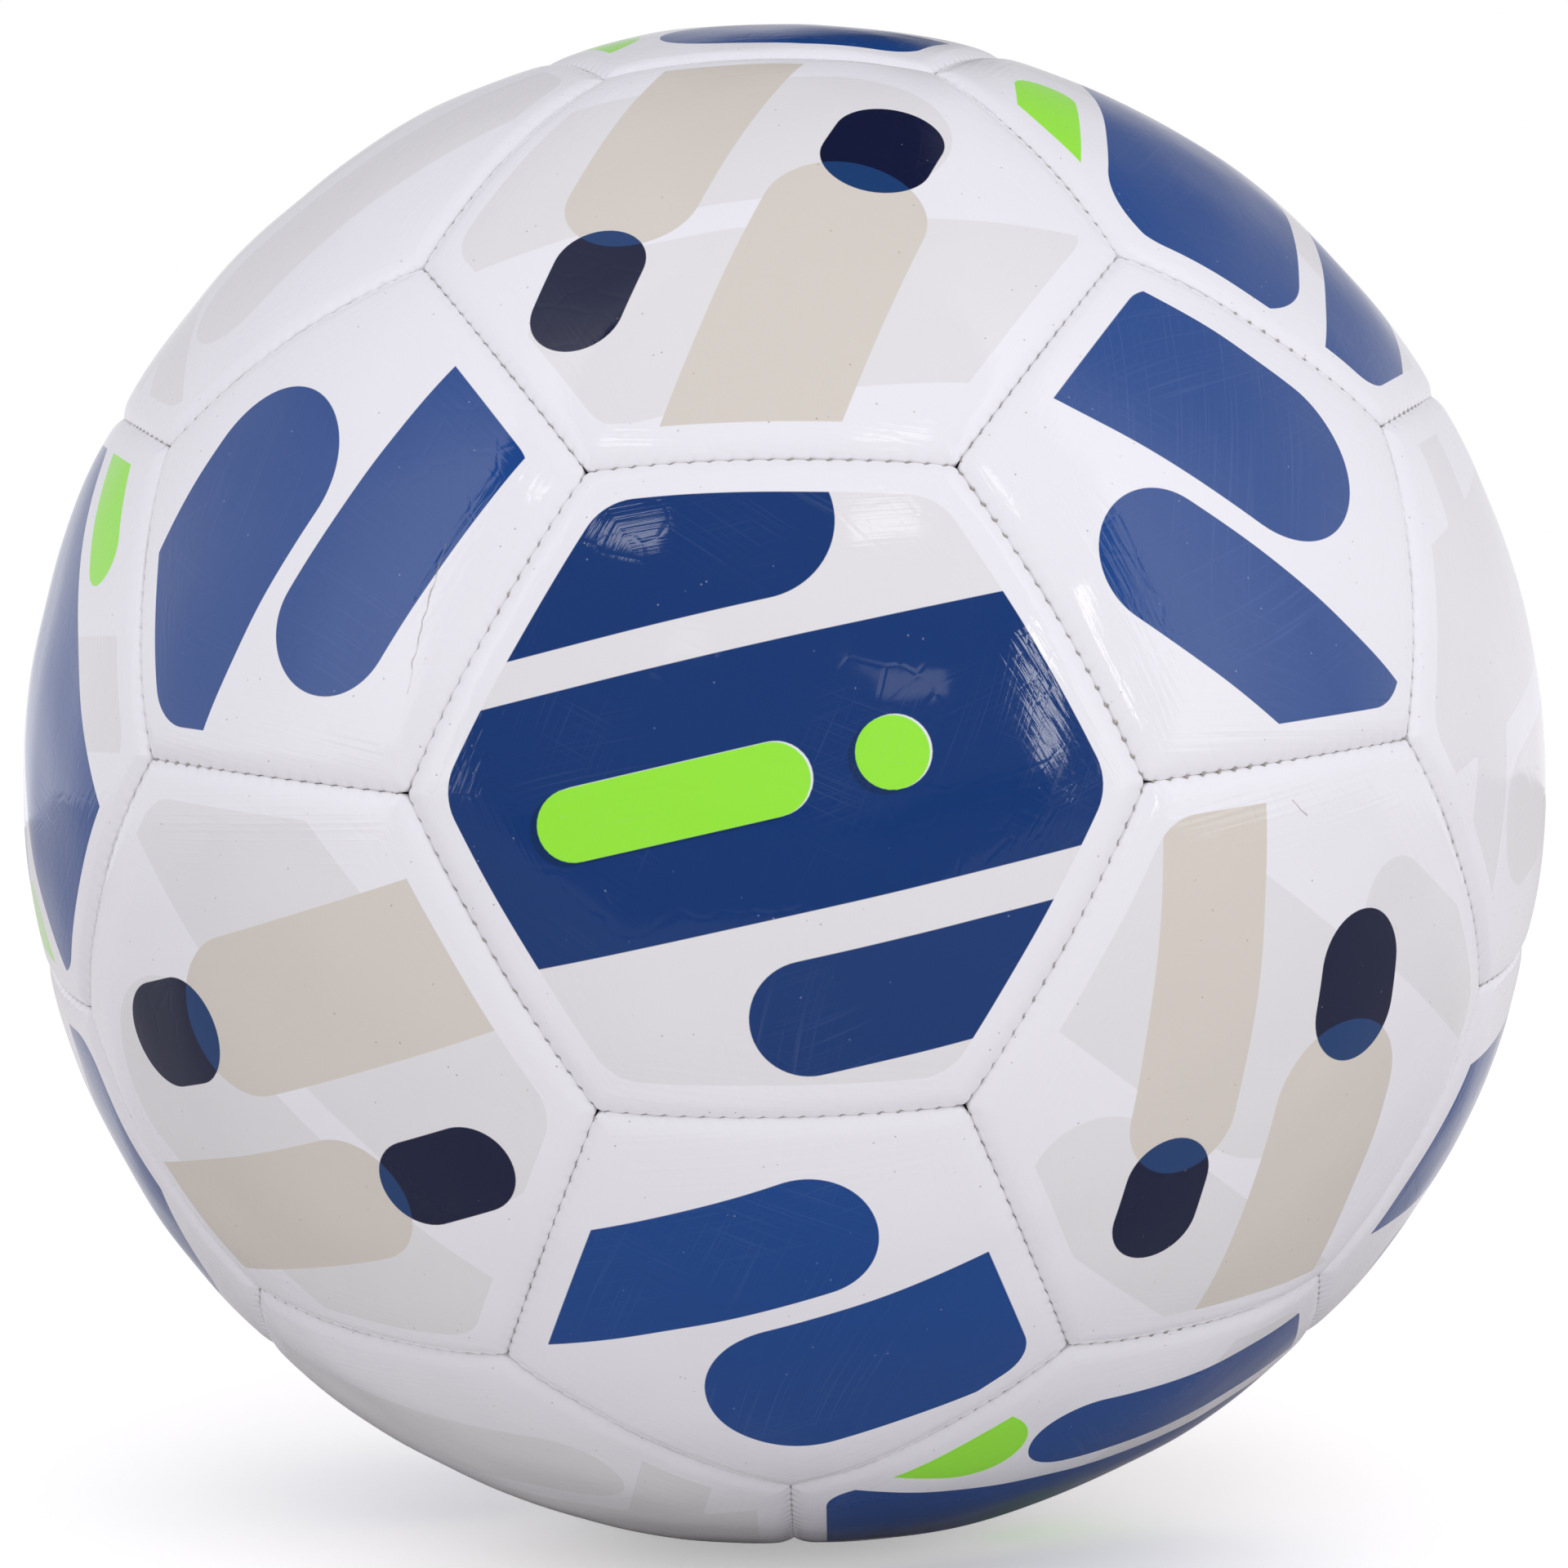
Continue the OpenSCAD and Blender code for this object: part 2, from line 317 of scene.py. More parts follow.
# %% [markdown]
# ## The section of a tray
# The section runs from the middle of the outer face to the shoulder, down the edge that is
# turned in, round its foot, and back along the inner face. The skin gets many rows, because its
# outline and its print are seen close up, and the hidden layers get few. The last rows before the
# seam lie close together, so that smooth shading keeps the edge crisp.

# %% Section of a tray
# Rows of a shoulder: the distance from the seam in mm and the number of points on a side
INNER_ROWS, INNER_COLUMNS = 10, 12
INNER_SHOULDER_W, INNER_CREASE = 0.8, 0.8 * CREASE_DEPTH
SKIN_SHOULDER = [(seam, 4 * STITCHES) for seam in (2.6, 2.1, 1.6)] + [
    (seam, 8 * STITCHES) for seam in (1.2, 0.85, 0.55, 0.32, 0.16, 0.06, 0.025, EDGE_GAP)
]
LAYER_SHOULDER = [(seam, INNER_COLUMNS) for seam in (1.6, 0.8, 0.3, EDGE_GAP)]


def tray_rings(sides, inset, thickness, crown_rows, shoulder, dips, hole, recess):
    """All the rings of one tray, from the middle of its outer face to that of its inner face."""
    under = min(inset + thickness, COVER_DEPTH)
    edge, last = EDGE_GAP + inset, shoulder[-1][1]
    rings = face_rings(sides, inset, crown_rows, 0, hole)
    for seam, columns in shoulder:
        rings.append(edge_ring(sides, seam + inset, shoulder_drop(seam) + inset, columns, dips))
    rings.append(edge_ring(sides, edge, 0.5 * (CREASE_DEPTH + inset + COVER_DEPTH), last, dips))
    rings.append(edge_ring(sides, edge, COVER_DEPTH, last))
    if under < COVER_DEPTH:
        for seam, depth in (
            (EDGE_GAP, COVER_DEPTH), (EDGE_GAP, INNER_CREASE + under),
            (INNER_SHOULDER_W, shoulder_drop(INNER_SHOULDER_W) + under),
        ):
            rings.append(edge_ring(sides, seam + under, depth, INNER_COLUMNS))
    return rings + face_rings(sides, under, INNER_ROWS, under, hole, recess)[::-1]


print(len(SKIN_SHOULDER), "rows on the skin's shoulder")

# %% [markdown]
# ## Joining the rings
# Each ring is wrapped onto the ball at its depth, and every pair of neighbours is zipped. A tray
# with a hole is closed there from its inner to its outer face. The skin's trays are made here once
# for all the panels of a shape, and the valve's panel has its own.

# %% Trays


def tray(sides, inset, thickness, crown_rows, shoulder, dips=False, hole_r=0.0, recess=(0, 0)):
    """Local points, distances from the seam in mm, and triangles of one layer."""
    hole = math.tan(hole_r / BALL_R)
    rings = tray_rings(sides, inset, thickness, crown_rows, shoulder, dips, hole, recess)
    points, seams, starts, faces = [], [], [0], []
    for apothem, corner_r, depth, columns in rings:
        angles, reach = np.zeros(1), np.zeros(1)
        if columns:
            angles, reach = ring_outline(sides, apothem, corner_r, columns)
        flat = reach * np.cos(angles), reach * np.sin(angles), np.ones_like(reach)
        flat = np.stack(flat, axis=1)
        depths = np.resize(np.broadcast_to(depth, max(columns, 1)), len(reach))
        fading = np.maximum(1 - depths / COVER_DEPTH, 0)
        depths = depths + pillow_drop(side_distances(flat, sides)) * fading
        points.append(unit(flat) * (BALL_R - depths)[:, None])
        middle = np.arctan(apothem.mean()) if columns else 0
        seams.append(np.full(len(reach), BALL_R * (EDGE_ANGLE[sides] - middle)))
        starts.append(starts[-1] + len(reach))
    for k in range(len(rings) - 1):
        faces += zip_rings(sides, starts[k], rings[k][3], starts[k + 1], rings[k + 1][3])
    if hole:
        faces += zip_rings(sides, starts[-2], rings[-1][3], starts[0], rings[0][3])
    return np.concatenate(points), np.concatenate(seams), np.array(faces)


VALVE_HOLE_R = 4.45
# Inset, thickness, rows on the outer face, shoulder and pull of the stitches
SKIN = (0, 1.0, 46, SKIN_SHOULDER, True)
skin_tray = {sides: tray(sides, *SKIN) for sides in (PENTAGON, HEXAGON)}
valve_skin_tray = tray(HEXAGON, *SKIN, hole_r=VALVE_HOLE_R)
for sides, (points, _, faces) in skin_tray.items():
    print(f"{sides} sides: {len(points)} points, {len(faces)} triangles")

# %% [markdown]
# ## From arrays to objects
# Blender takes whole arrays of points and triangles at once, which is far quicker than adding
# faces one by one. Numbers that belong to a point, such as its distance from the seam, are
# stored as attributes on the mesh, and a material can read them back by name.

# %% Mesh maker


def make_piece(name, node, points_mm, faces, attributes=None):
    """A smooth mesh object from points in mm, with named numbers on its points."""
    mesh = bpy.data.meshes.new(name)
    mesh.vertices.add(len(points_mm))
    mesh.vertices.foreach_set("co", (np.asarray(points_mm) * MM).astype(np.float32).ravel())
    mesh.loops.add(3 * len(faces))
    mesh.loops.foreach_set("vertex_index", np.asarray(faces, np.int32).ravel())
    mesh.polygons.add(len(faces))
    mesh.polygons.foreach_set("loop_start", np.arange(0, 3 * len(faces), 3, dtype=np.int32))
    mesh.update(calc_edges=True)
    for label, values in (attributes or {}).items():
        vector = np.ndim(values) == 2
        layer = mesh.attributes.new(label, "FLOAT_VECTOR" if vector else "FLOAT", "POINT")
        values = np.asarray(values, np.float32).ravel()
        layer.data.foreach_set("vector" if vector else "value", values)
    mesh.shade_smooth()
    piece = bpy.data.objects.new(name, mesh)
    scene.collection.objects.link(piece)
    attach(piece, "root")
    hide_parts(node)
    return piece


# %% [markdown]
# ## The print
# The film is printed before the panels are cut. We draw the print as rounded bars, in the
# colours of the object: royal blue on the pentagons, pale grey and sand with small navy dashes
# on most hexagons, and blue with neon green on a few. A bar is a line with a thickness, so the
# distance to it is easy to work out for each point of the mesh. Stored in millimetres and
# cut off at zero by the material, that distance gives a crisp edge at any zoom.

# %% Print designs
# One bar: its angle in degrees, its offset from the middle, its start and end, its width, in mm.
ALL_OVER = (0, 0, -60, 60, 200)
DESIGNS = {
    "front": {
        "grey": [ALL_OVER],
        "blue": [(0, 1, -60, 60, 29), (0, 29, -60, 4, 18), (0, -25, -2, 60, 13)],
        "green": [(0, 1, -22, 0, 8), (0, 1, 13, 13, 8)],
    },
    "bold": {
        "azure": [(0, 6, -22, 60, 28), (0, -20, -60, 8, 15)],
        "grey": [(60, 0, -60, 60, 14)],
        "green": [(0, -20, 24, 60, 15), (0, 27.5, -60, -4, 8)],
    },
    "pentagon": {"azure": [(0, 10, -60, 2, 22), (0, -12, -7, 60, 16)]},
    "pentagon_green": {
        "azure": [(0, 14, -60, 2, 19), (0, -10, -8, 60, 15)],
        "green": [(0, 14, 24, 60, 19), (0, -10, -60, -26, 15)],
    },
    "pale": {
        "grey": [(0, 13, -60, 10, 27), (0, -17, -18, 60, 24)],
        "sand": [(62, -9, -60, 0, 19), (62, 15, -4, 60, 16)],
        "navy": [(62, -9, 11.5, 16.5, 13), (62, 15, -22, -15, 11)],
    },
    "pale_two": {
        "grey": [(0, 2, -60, -4, 28), (0, 23, 2, 60, 12), (0, -23, -14, 60, 17)],
        "sand": [(-58, 8, 4, 60, 20), (-58, -15, -60, 4, 14)],
        "navy": [(-58, 8, -12.5, -7.5, 13), (-58, -15, 12, 17, 11)],
    },
    "faint": {
        "grey": [(0, 12, -60, 10, 25), (0, -14, -14, 60, 17), (62, 20, -60, 60, 9)],
    },
}
INKS = ("grey", "sand", "blue", "azure", "navy", "shade", "base", "green")
print(f"{len(DESIGNS)} designs in {len(INKS)} inks")

# %% [markdown]
# ## Distances to the print
# A panel is laid flat by keeping every point's distance and direction from its middle, and the
# bars are measured on that flat sheet. A point between a bar's ends measures straight across, and
# one beyond an end measures to that end, which rounds it. The nearest bar of each ink counts.
# Green needs a white base to glow on blue. Printed a little out of register, the base peeps out
# at one side as a fine white line, and at the other side the blue is printed twice and darker.

# %% Print distances
FAR_AWAY = 50.0
OUT_OF_REGISTER = {"shade": (-0.9, -0.3), "base": (0.28, 0.05)}


def turned_back(x, y, angle):
    """A place as measured along and across a direction at an angle in degrees."""
    c, s = math.cos(math.radians(angle)), math.sin(math.radians(angle))
    return x * c + y * s, y * c - x * s


def print_place(points, axis, turn):
    """Each point's place on a panel's print in mm, with up towards +Z before the turn."""
    up = unit(np.array((0, 0, 1)) - axis * axis[2])
    right = np.cross(up, axis)
    directions = unit(points)
    x, y, z = directions @ right, directions @ up, directions @ axis
    stretch = BALL_R * np.arctan2(np.hypot(x, y), z) / np.maximum(np.hypot(x, y), 1e-9)
    return np.stack(turned_back(x * stretch, y * stretch, turn), axis=1)


def bar_distance(place, angle, offset, start, end, width):
    """Distance in mm to the edge of a rounded bar, negative inside it."""
    along, across = turned_back(place[:, 0], place[:, 1], angle)
    past = along - np.clip(along, start, end)
    return np.hypot(past, across - offset) - width / 2


def ink_distances(place, design):
    """Distance in mm to the nearest bar of each ink."""
    nearest = {}
    for ink in INKS:
        bars = DESIGNS[design].get("green" if ink in OUT_OF_REGISTER else ink, [])
        shifted = place - OUT_OF_REGISTER.get(ink, (0, 0))
        bars = [bar_distance(shifted, *bar) for bar in bars]
        nearest["ink_" + ink] = np.min(bars + [np.full(len(place), FAR_AWAY)], axis=0)
    return nearest


sample = ink_distances(np.zeros((1, 2)), "front")
sample = {ink: round(float(distance[0]), 1) for ink, distance in sample.items()}
print("in the middle of the front panel:", sample)

# %% [markdown]
# ## The white border
# The print stops about 4 mm before the seams and has rounded corners, so that a little
# shift in sewing doesn't show. In a corner, the two nearest sides give the distance from the
# middle of the corner's circle, by the law of cosines. Elsewhere the nearest side is enough.

# %% Printed field
FIELD_INSET = 4.2
FIELD_CORNER_R = 5.5


def field_distance(local, sides):
    """Distance in mm past the edge of the printed field, negative inside it."""
    past = np.sort(FIELD_INSET + FIELD_CORNER_R - side_distances(local, sides), axis=1)
    first, second = past[:, -1], past[:, -2]
    c, s = math.cos(2 * math.pi / sides), math.sin(2 * math.pi / sides)
    round_corner = np.sqrt(first ** 2 + second ** 2 - 2 * c * first * second) / s
    return np.where((first > 0) & (second > c * first), round_corner, first) - FIELD_CORNER_R


print(f"the printed field ends {FIELD_INSET} mm before the seams")

# %% [markdown]
# ## Uneven skin
# No sewn cover is a perfect sphere: the foam gives, the film creeps, and reflections wobble.
# A sum of a few dozen shallow waves with lengths of 9 to 40 mm moves the points by hundredths of
# a millimetre, in the mesh itself, so that the exported shape has it too.

# %% Shallow waves
dice = np.random.default_rng(7)
WAVES = 40
SHORTEST, LONGEST = 9, 40
WAVE_SLOPE = 0.0011
wave_length = dice.uniform(SHORTEST, LONGEST, WAVES)
wave_way = unit(dice.normal(size=(WAVES, 3))) * (2 * math.pi / wave_length)[:, None]
wave_phase = dice.uniform(0, 2 * math.pi, WAVES)
wave_height = WAVE_SLOPE * wave_length


def unevenness(points):
    """Shallow bumps and hollows of the cover, in mm."""
    return (np.sin(points @ wave_way.T + wave_phase) * wave_height).sum(1)


def uneven(points, share=1.0, finer=1):
    """The points moved outwards by a share of the unevenness."""
    return points * (1 + (share * unevenness(points * finer) / BALL_R)[:, None])


print(f"unevenness about {np.sqrt((wave_height ** 2).sum() / 2):.3f} mm")

# %% [markdown]
# ## Hairlines
# Play has left a few fine creases in the film. Each is a short line on one panel, given by its
# two ends as directions from the ball's centre. A distance that bends at the line would be
# blurred by the mesh, so we store two straight measures instead, how far along the line and how
# far to its side, and let the material cut the line out of them.

# %% Hairlines
HAIRLINES = [
    ((0.495, -0.785, 0.373), (0.543, -0.805, 0.240)),
    ((0.570, -0.822, -0.022), (0.588, -0.808, -0.040)),
    ((-0.354, -0.895, 0.271), (-0.396, -0.912, 0.108)),
    ((0.211, -0.925, 0.317), (0.236, -0.933, 0.272)),
]
PAST_THE_END = 9.0


def hairline_place(points, axis):
    """Along the panel's hairline, from -1 to 1 between its ends, and to its side in mm."""
    measures = np.full((len(points), 3), PAST_THE_END)
    for start, end in HAIRLINES:
        start, end = unit(start), unit(end)
        middle, way = (start + end) / 2, unit(end - start)
        if np.allclose(max(panel_axis.values(), key=lambda other: other @ middle), axis):
            measures[:, 0] = (unit(points) - middle) @ way / np.linalg.norm(end - middle)
            measures[:, 1] = unit(points) @ unit(np.cross(start, end)) * BALL_R
    return measures


print(len(HAIRLINES), "hairlines")

# %% [markdown]
# ## Which print goes where
# The prints differ from panel to panel, so a small table says which design goes where and how
# far it is turned, by the direction of the panel's middle. Panels that are not named take the
# everyday design of their shape.

# %% Layout of the prints
LAYOUT = {
    (0, -1, 0): ("front", 12),
    (0, -0.745, 0.667): ("pale", 8),
    (-0.577, -0.745, -0.333): ("pale", 130),
    (0.577, -0.745, -0.333): ("pale_two", -30),
    (0.577, -0.333, 0.745): ("bold", 40),
    (0.357, -0.333, -0.873): ("bold", 200),
    (-0.577, -0.333, 0.745): ("faint", 70),
    (0.934, -0.333, 0.127): ("faint", 20),
    (-0.934, -0.333, 0.127): ("bold", -60),
    (-0.357, -0.333, -0.873): ("faint", 160),
    (-0.577, 0.333, -0.745): ("bold", 75),
    (-0.357, 0.333, 0.873): ("bold", 310),
    (0.577, 0.745, 0.333): ("bold", 150),
    (-0.526, -0.795, 0.304): ("pentagon", 60),
    (0.526, -0.795, 0.304): ("pentagon", -35),
    (0, -0.795, -0.607): ("pentagon", 200),
    (0, -0.188, 0.982): ("pentagon_green", 170),
    (0.526, 0.795, -0.304): ("pentagon_green", 20),
    (-0.851, 0.188, 0.491): ("pentagon_green", 250),
}
EVERYDAY = {PENTAGON: ("pentagon",), HEXAGON: ("pale", "pale_two", "faint")}
TURN_STEP, TURN_START = {PENTAGON: 72, HEXAGON: 97}, {PENTAGON: 20, HEXAGON: 0}


def print_of(axis, sides, number):
    """The name of a panel's design and its turn in degrees."""
    for place, design in LAYOUT.items():
        if np.dot(unit(place), axis) > SAME_WAY:
            return design
    designs = EVERYDAY[sides]
    return designs[number % len(designs)], TURN_STEP[sides] * number + TURN_START[sides]


print(len(LAYOUT), "panels with a print of their own")

# %% [markdown]
# ## The 32 panels
# Now each panel node gets its own piece. Its tray is turned to the panel's axis, the unevenness
# moves its points, and the numbers that the material needs are stored on them: the distances to
# the inks, to the field's edge and to the seam, the hairline's measures and the place on the
# sheet. The sheets lie apart from each other, so that no two panels have the same scratches.

# %% Panels
SHEET_STEP = 40.0
skins = []
for number, (name, axis) in enumerate(sorted(panel_axis.items())):
    shape, sides = ("pentagon", PENTAGON) if name.startswith("pentagon") else ("hexagon", HEXAGON)
    local, seams, faces = valve_skin_tray if "valve" in name else skin_tray[sides]
    points = uneven(local @ panel_frame(axis).T)
    design, turn_of = print_of(axis, sides, number)
    numbers = ink_distances(print_place(points, axis, turn_of), design)
    numbers["field"] = field_distance(local, sides)
    numbers["seam"] = seams
    numbers["hairline"] = hairline_place(points, axis)
    sheet_number = np.full(len(points), SHEET_STEP * number)
    numbers["sheet"] = np.column_stack([print_place(points, axis, 0), sheet_number])
    skins.append(make_piece(name + "_skin", name, points, faces, numbers))
print(len(skins), "panels")

# %% [markdown]
# ## Nodes in few words
# Materials are small graphs. One function adds a node, sets its properties and fills its
# inputs: a number is set on the socket, and another node is linked to it. Colours are written
# as on a paint card, in sRGB, and turned to the linear light that Blender reckons with.

# %% Node and colour helpers
# Settings of a node that mixes two colours, in its sockets 6 and 7, by its socket 0
COLOURS = {"output": 2, "data_type": "RGBA"}


def add(tree, kind, inputs=(), output=0, **settings):
    """Adds a node and returns one of its outputs."""
    made = tree.nodes.new("ShaderNode" + kind)
    for label, value in settings.items():
        setattr(made, label, value)
    for key, value in inputs.items() if isinstance(inputs, dict) else enumerate(inputs):
        if isinstance(value, bpy.types.NodeSocket):
            tree.links.new(value, made.inputs[key])
        elif value is not None:
            made.inputs[key].default_value = value
    return made if output is None else made.outputs[output]


def linear(hex_colour):
    """An sRGB colour such as "#1F3D7A" as linear RGBA."""
    values = [int(hex_colour[i:i + 2], 16) / 255 for i in (1, 3, 5)]
    light = [v / 12.92 if v <= 0.04045 else ((v + 0.055) / 1.055) ** 2.4 for v in values]
    return (*light, 1.0)


def new_material(name):
    """A material with an empty graph."""
    made = bpy.data.materials.new(name)
    made.use_nodes = True
    made.node_tree.nodes.clear()
    return made, made.node_tree


def per_mm(size):
    """The scale of a texture whose pattern is that many millimetres across."""
    return 1 / (size * MM)


print("royal blue in linear light:", [round(c, 3) for c in linear("#123772")])

# %% [markdown]
# ## Printed PVC film: the inks
# The skin is soft PVC film, calendered and then screen printed under a clear top coat. Each ink
# lies where its stored distance is below zero and inside the printed field. The edge is a tenth of
# a millimetre soft, like a screen print's. Where a navy dash lies on sand it dries lighter.

# %% Inks
PRINT_EDGE = 0.12
# To the eye it is a bright, smooth white with crisp flat colours under patches of mirrored light
printed_film, tree = new_material("printed_pvc_film")
place = add(tree, "TexCoord", output="Object")
covered = {}
for name in ("field",) + tuple("ink_" + ink for ink in INKS):
    distance = add(tree, "Attribute", output="Fac", attribute_name=name)
    cut = (distance, -1 / PRINT_EDGE, 0.5)
    covered[name] = add(tree, "Math", cut, operation="MULTIPLY_ADD", use_clamp=True)
inked = {}
for ink in INKS:
    both = covered["ink_" + ink], covered["field"]
    inked[ink] = add(tree, "Math", both, operation="MULTIPLY")
dark_ink = add(tree, "Math", (inked["blue"], inked["azure"]), operation="MAXIMUM")
inked["shade"] = add(tree, "Math", (inked["shade"], inked["blue"]), operation="MULTIPLY")
navies = {0: inked["sand"], 6: linear("#141A3A"), 7: linear("#1E3F70")}
navy = add(tree, "Mix", navies, **COLOURS)
ink_colours = {
    "grey": linear("#E2E1E3"), "sand": linear("#D6CFC6"), "blue": linear("#123772"),
    "azure": linear("#134489"), "navy": navy, "shade": linear("#12305F"),
    "base": linear("#E4EAEE"), "green": linear("#99EB3F"),
}
film = linear("#EBEAEF")
for ink, colour in ink_colours.items():
    film = add(tree, "Mix", {0: inked[ink], 6: film, 7: colour}, **COLOURS)
print(len(ink_colours), "inks on white film")

# %% [markdown]
# ## Printed PVC film: hair scratches
# Sliding over a hall floor leaves fine scratches in long shallow arcs. They are noise drawn out
# seventy times along one direction, and a broad second noise bends them. The noise runs in the
# flat sheet of each panel, stored in mm, because noise in space would cut the scratches short.
# Three directions are used, each in its own patches. A real scratch is 0.02 mm wide, too fine to
# show, so they are drawn about 0.15 mm wide and much fainter than a real one.

# %% Hair scratches
SCRATCH_TURNS = (-0.5, 0.35, 1.3)
SCRATCH_SIZE = (24, 0.34, 1)
BEND_SIZE, BEND = 45, (14, 14, 0)
PATCH_SIZE, PATCH_SHIFT = 24, 9
SCRATCH_SHARE = 0.06
sheet = add(tree, "Attribute", output="Vector", attribute_name="sheet")
wide = {"Vector": sheet, "Scale": 1 / BEND_SIZE, "Detail": 0.0}
bend = add(tree, "TexNoise", wide, output="Color")
swirl = add(tree, "VectorMath", {0: bend, 1: BEND, 2: sheet}, operation="MULTIPLY_ADD")
scratches = 0.0
for turn_of in SCRATCH_TURNS:
    sizes = {0: swirl, 2: (0, 0, turn_of), 3: SCRATCH_SIZE}
    drawn = add(tree, "Mapping", sizes, vector_type="TEXTURE")
    hair = add(tree, "TexNoise", {"Vector": drawn, "Scale": 1.0, "Detail": 1.0})
    hair = add(tree, "MapRange", (hair, 0.56, 0.74, 0.0, 1.0))
    shifted = add(tree, "Mapping", {0: sheet, 1: (0, 0, PATCH_SHIFT * turn_of)})
    patches = {"Vector": shifted, "Scale": 1 / PATCH_SIZE, "Detail": 2.0}
    patches = add(tree, "MapRange", (add(tree, "TexNoise", patches), 0.48, 0.7, 0.0, 1.0))
    hair = add(tree, "Math", (hair, patches), operation="MULTIPLY")
    scratches = add(tree, "Math", (scratches, hair), operation="MAXIMUM")
faint = scratches
for share in (dark_ink, SCRATCH_SHARE):
    faint = add(tree, "Math", (faint, share), operation="MULTIPLY")
film = add(tree, "Mix", {0: faint, 6: film, 7: linear("#9FB4D6")}, **COLOURS)
print(len(SCRATCH_TURNS), "directions of scratches")

# %% [markdown]
# ## Printed PVC film: specks
# Dust shows pale on the dark inks and brown on the white film. Cells of a Voronoi pattern hold
# one dot each, at most 0.15 mm in radius, and only a few cells are used. Near the seams, where a
# cloth doesn't reach, more of them are.

# %% Specks
SPECK_CELL = 1.5
SPECK_REACH = 0.1
from_seam = add(tree, "Attribute", output="Fac", attribute_name="seam")
cells = add(tree, "TexVoronoi", {"Vector": place, "Scale": per_mm(SPECK_CELL)}, output=None)
specks = add(tree, "MapRange", (cells.outputs["Distance"], SPECK_REACH, 0.04, 0.0, 1.0))
rarity = add(tree, "MapRange", (from_seam, 0.3, 2.5, 0.58, 0.73))
chosen = add(tree, "Math", (cells.outputs["Color"], rarity), operation="GREATER_THAN")
strength = add(tree, "MapRange", (dark_ink, 0.0, 1.0, 0.6, 0.4))
for share in (chosen, strength):
    specks = add(tree, "Math", (specks, share), operation="MULTIPLY")
dust = add(tree, "Mix", {0: dark_ink, 6: linear("#857763"), 7: linear("#AEB6C8")}, **COLOURS)
film = add(tree, "Mix", {0: specks, 6: film, 7: dust}, **COLOURS)
print(f"specks of at most {SPECK_REACH * SPECK_CELL:.2f} mm in radius, and more by the seams")

# %% [markdown]
# ## Printed PVC film: hairlines and seam dirt
# The hairlines come from their two stored measures, bent a little by noise and broken here and
# there. Dirt gathers in the seams as a thin grey line, which the same noise makes patchy, and a
# broader noise keeps it to some stretches of a seam.

# %% Hairlines and seam dirt
GRIME_SIZE, STRETCH_SIZE = 3, 10
LINE_SWAY, LINE_HALF = 1.2, 0.09
measures = add(tree, "Attribute", output="Vector", attribute_name="hairline")
grime = add(tree, "TexNoise", {"Vector": place, "Scale": per_mm(GRIME_SIZE), "Detail": 4.0})
along, aside, _ = add(tree, "SeparateXYZ", (measures,), output=None).outputs
aside = add(tree, "Math", (grime, LINE_SWAY, aside), operation="MULTIPLY_ADD")
crack = add(tree, "Math", (aside, LINE_SWAY / 2, LINE_HALF), operation="COMPARE")
between = add(tree, "Math", (along, 0.0, 1.0), operation="COMPARE")
broken = add(tree, "MapRange", (grime, 0.4, 0.55, 0.15, 0.5))
for share in (between, broken):
    crack = add(tree, "Math", (crack, share), operation="MULTIPLY")
film = add(tree, "Mix", {0: crack, 6: film, 7: linear("#7D7868")}, **COLOURS)
soiled = add(tree, "MapRange", (from_seam, 0.03, 0.28, 0.45, 0.0))
patchy = add(tree, "MapRange", (grime, 0.35, 0.7, 0.3, 1.0))
stretches = {"Vector": place, "Scale": per_mm(STRETCH_SIZE), "Detail": 1.0}
stretches = add(tree, "MapRange", (add(tree, "TexNoise", stretches), 0.4, 0.62, 0.2, 1.0))
for share in (patchy, stretches):
    soiled = add(tree, "Math", (soiled, share), operation="MULTIPLY")
film = add(tree, "Mix", {0: soiled, 6: film, 7: linear("#8A857B")}, **COLOURS)
print("hairlines and seam dirt are mixed in")

# %% [markdown]
# ## Printed PVC film: gloss
# PVC has an index of refraction of about 1.53, and the clear coat is almost a mirror where
# nothing has rubbed it. It stands on the thick dark inks and sinks into the bare and palely tinted
# film, which shines less. Scratches and dirt dull it. The relief is given in millimetres: a slight
# orange peel, the scratches, fine creases where the film was pressed, and crumples about 0.7 mm
# apart that run along the rolled edges and break up the mirrored lights.

# %% Gloss
PVC_IOR = 1.53
COAT_ROUGHNESS = 0.07
BARE_SHINE, INKED_SHINE = 0.32, 0.5
PEEL_SIZE, FOLD_SIZE, PRESSED_SIZE = 2.2, 4, 14
CRUMPLES_ALONG, CRUMPLES_ACROSS = 0.16, 1.5
gloss = COAT_ROUGHNESS
for wear, dulling in ((scratches, 0.2), (soiled, 0.8)):
    gloss = add(tree, "Math", (wear, dulling, gloss), operation="MULTIPLY_ADD")
peel = add(tree, "TexNoise", {"Vector": place, "Scale": per_mm(PEEL_SIZE), "Detail": 2.0})
cells = {"Vector": swirl, "Scale": 1 / FOLD_SIZE}
folds = add(tree, "TexVoronoi", cells, output="Distance", feature="DISTANCE_TO_EDGE")
folds = add(tree, "MapRange", (folds, 0.0, 0.1, 0.0, 0.008))
pressed = add(tree, "TexNoise", {"Vector": sheet, "Scale": 1 / PRESSED_SIZE, "Detail": 1.0})
pressed = add(tree, "MapRange", (pressed, 0.3, 0.46, 0.0, 1.0))
folds = add(tree, "Math", (folds, pressed), operation="MULTIPLY")
inward = add(tree, "Math", (from_seam, CRUMPLES_ACROSS), operation="MULTIPLY")
inward = add(tree, "CombineXYZ", (inward,))
drawn_out = {0: sheet, 1: (CRUMPLES_ALONG, CRUMPLES_ALONG, 1), 2: inward}
edgewise = add(tree, "VectorMath", drawn_out, operation="MULTIPLY_ADD")
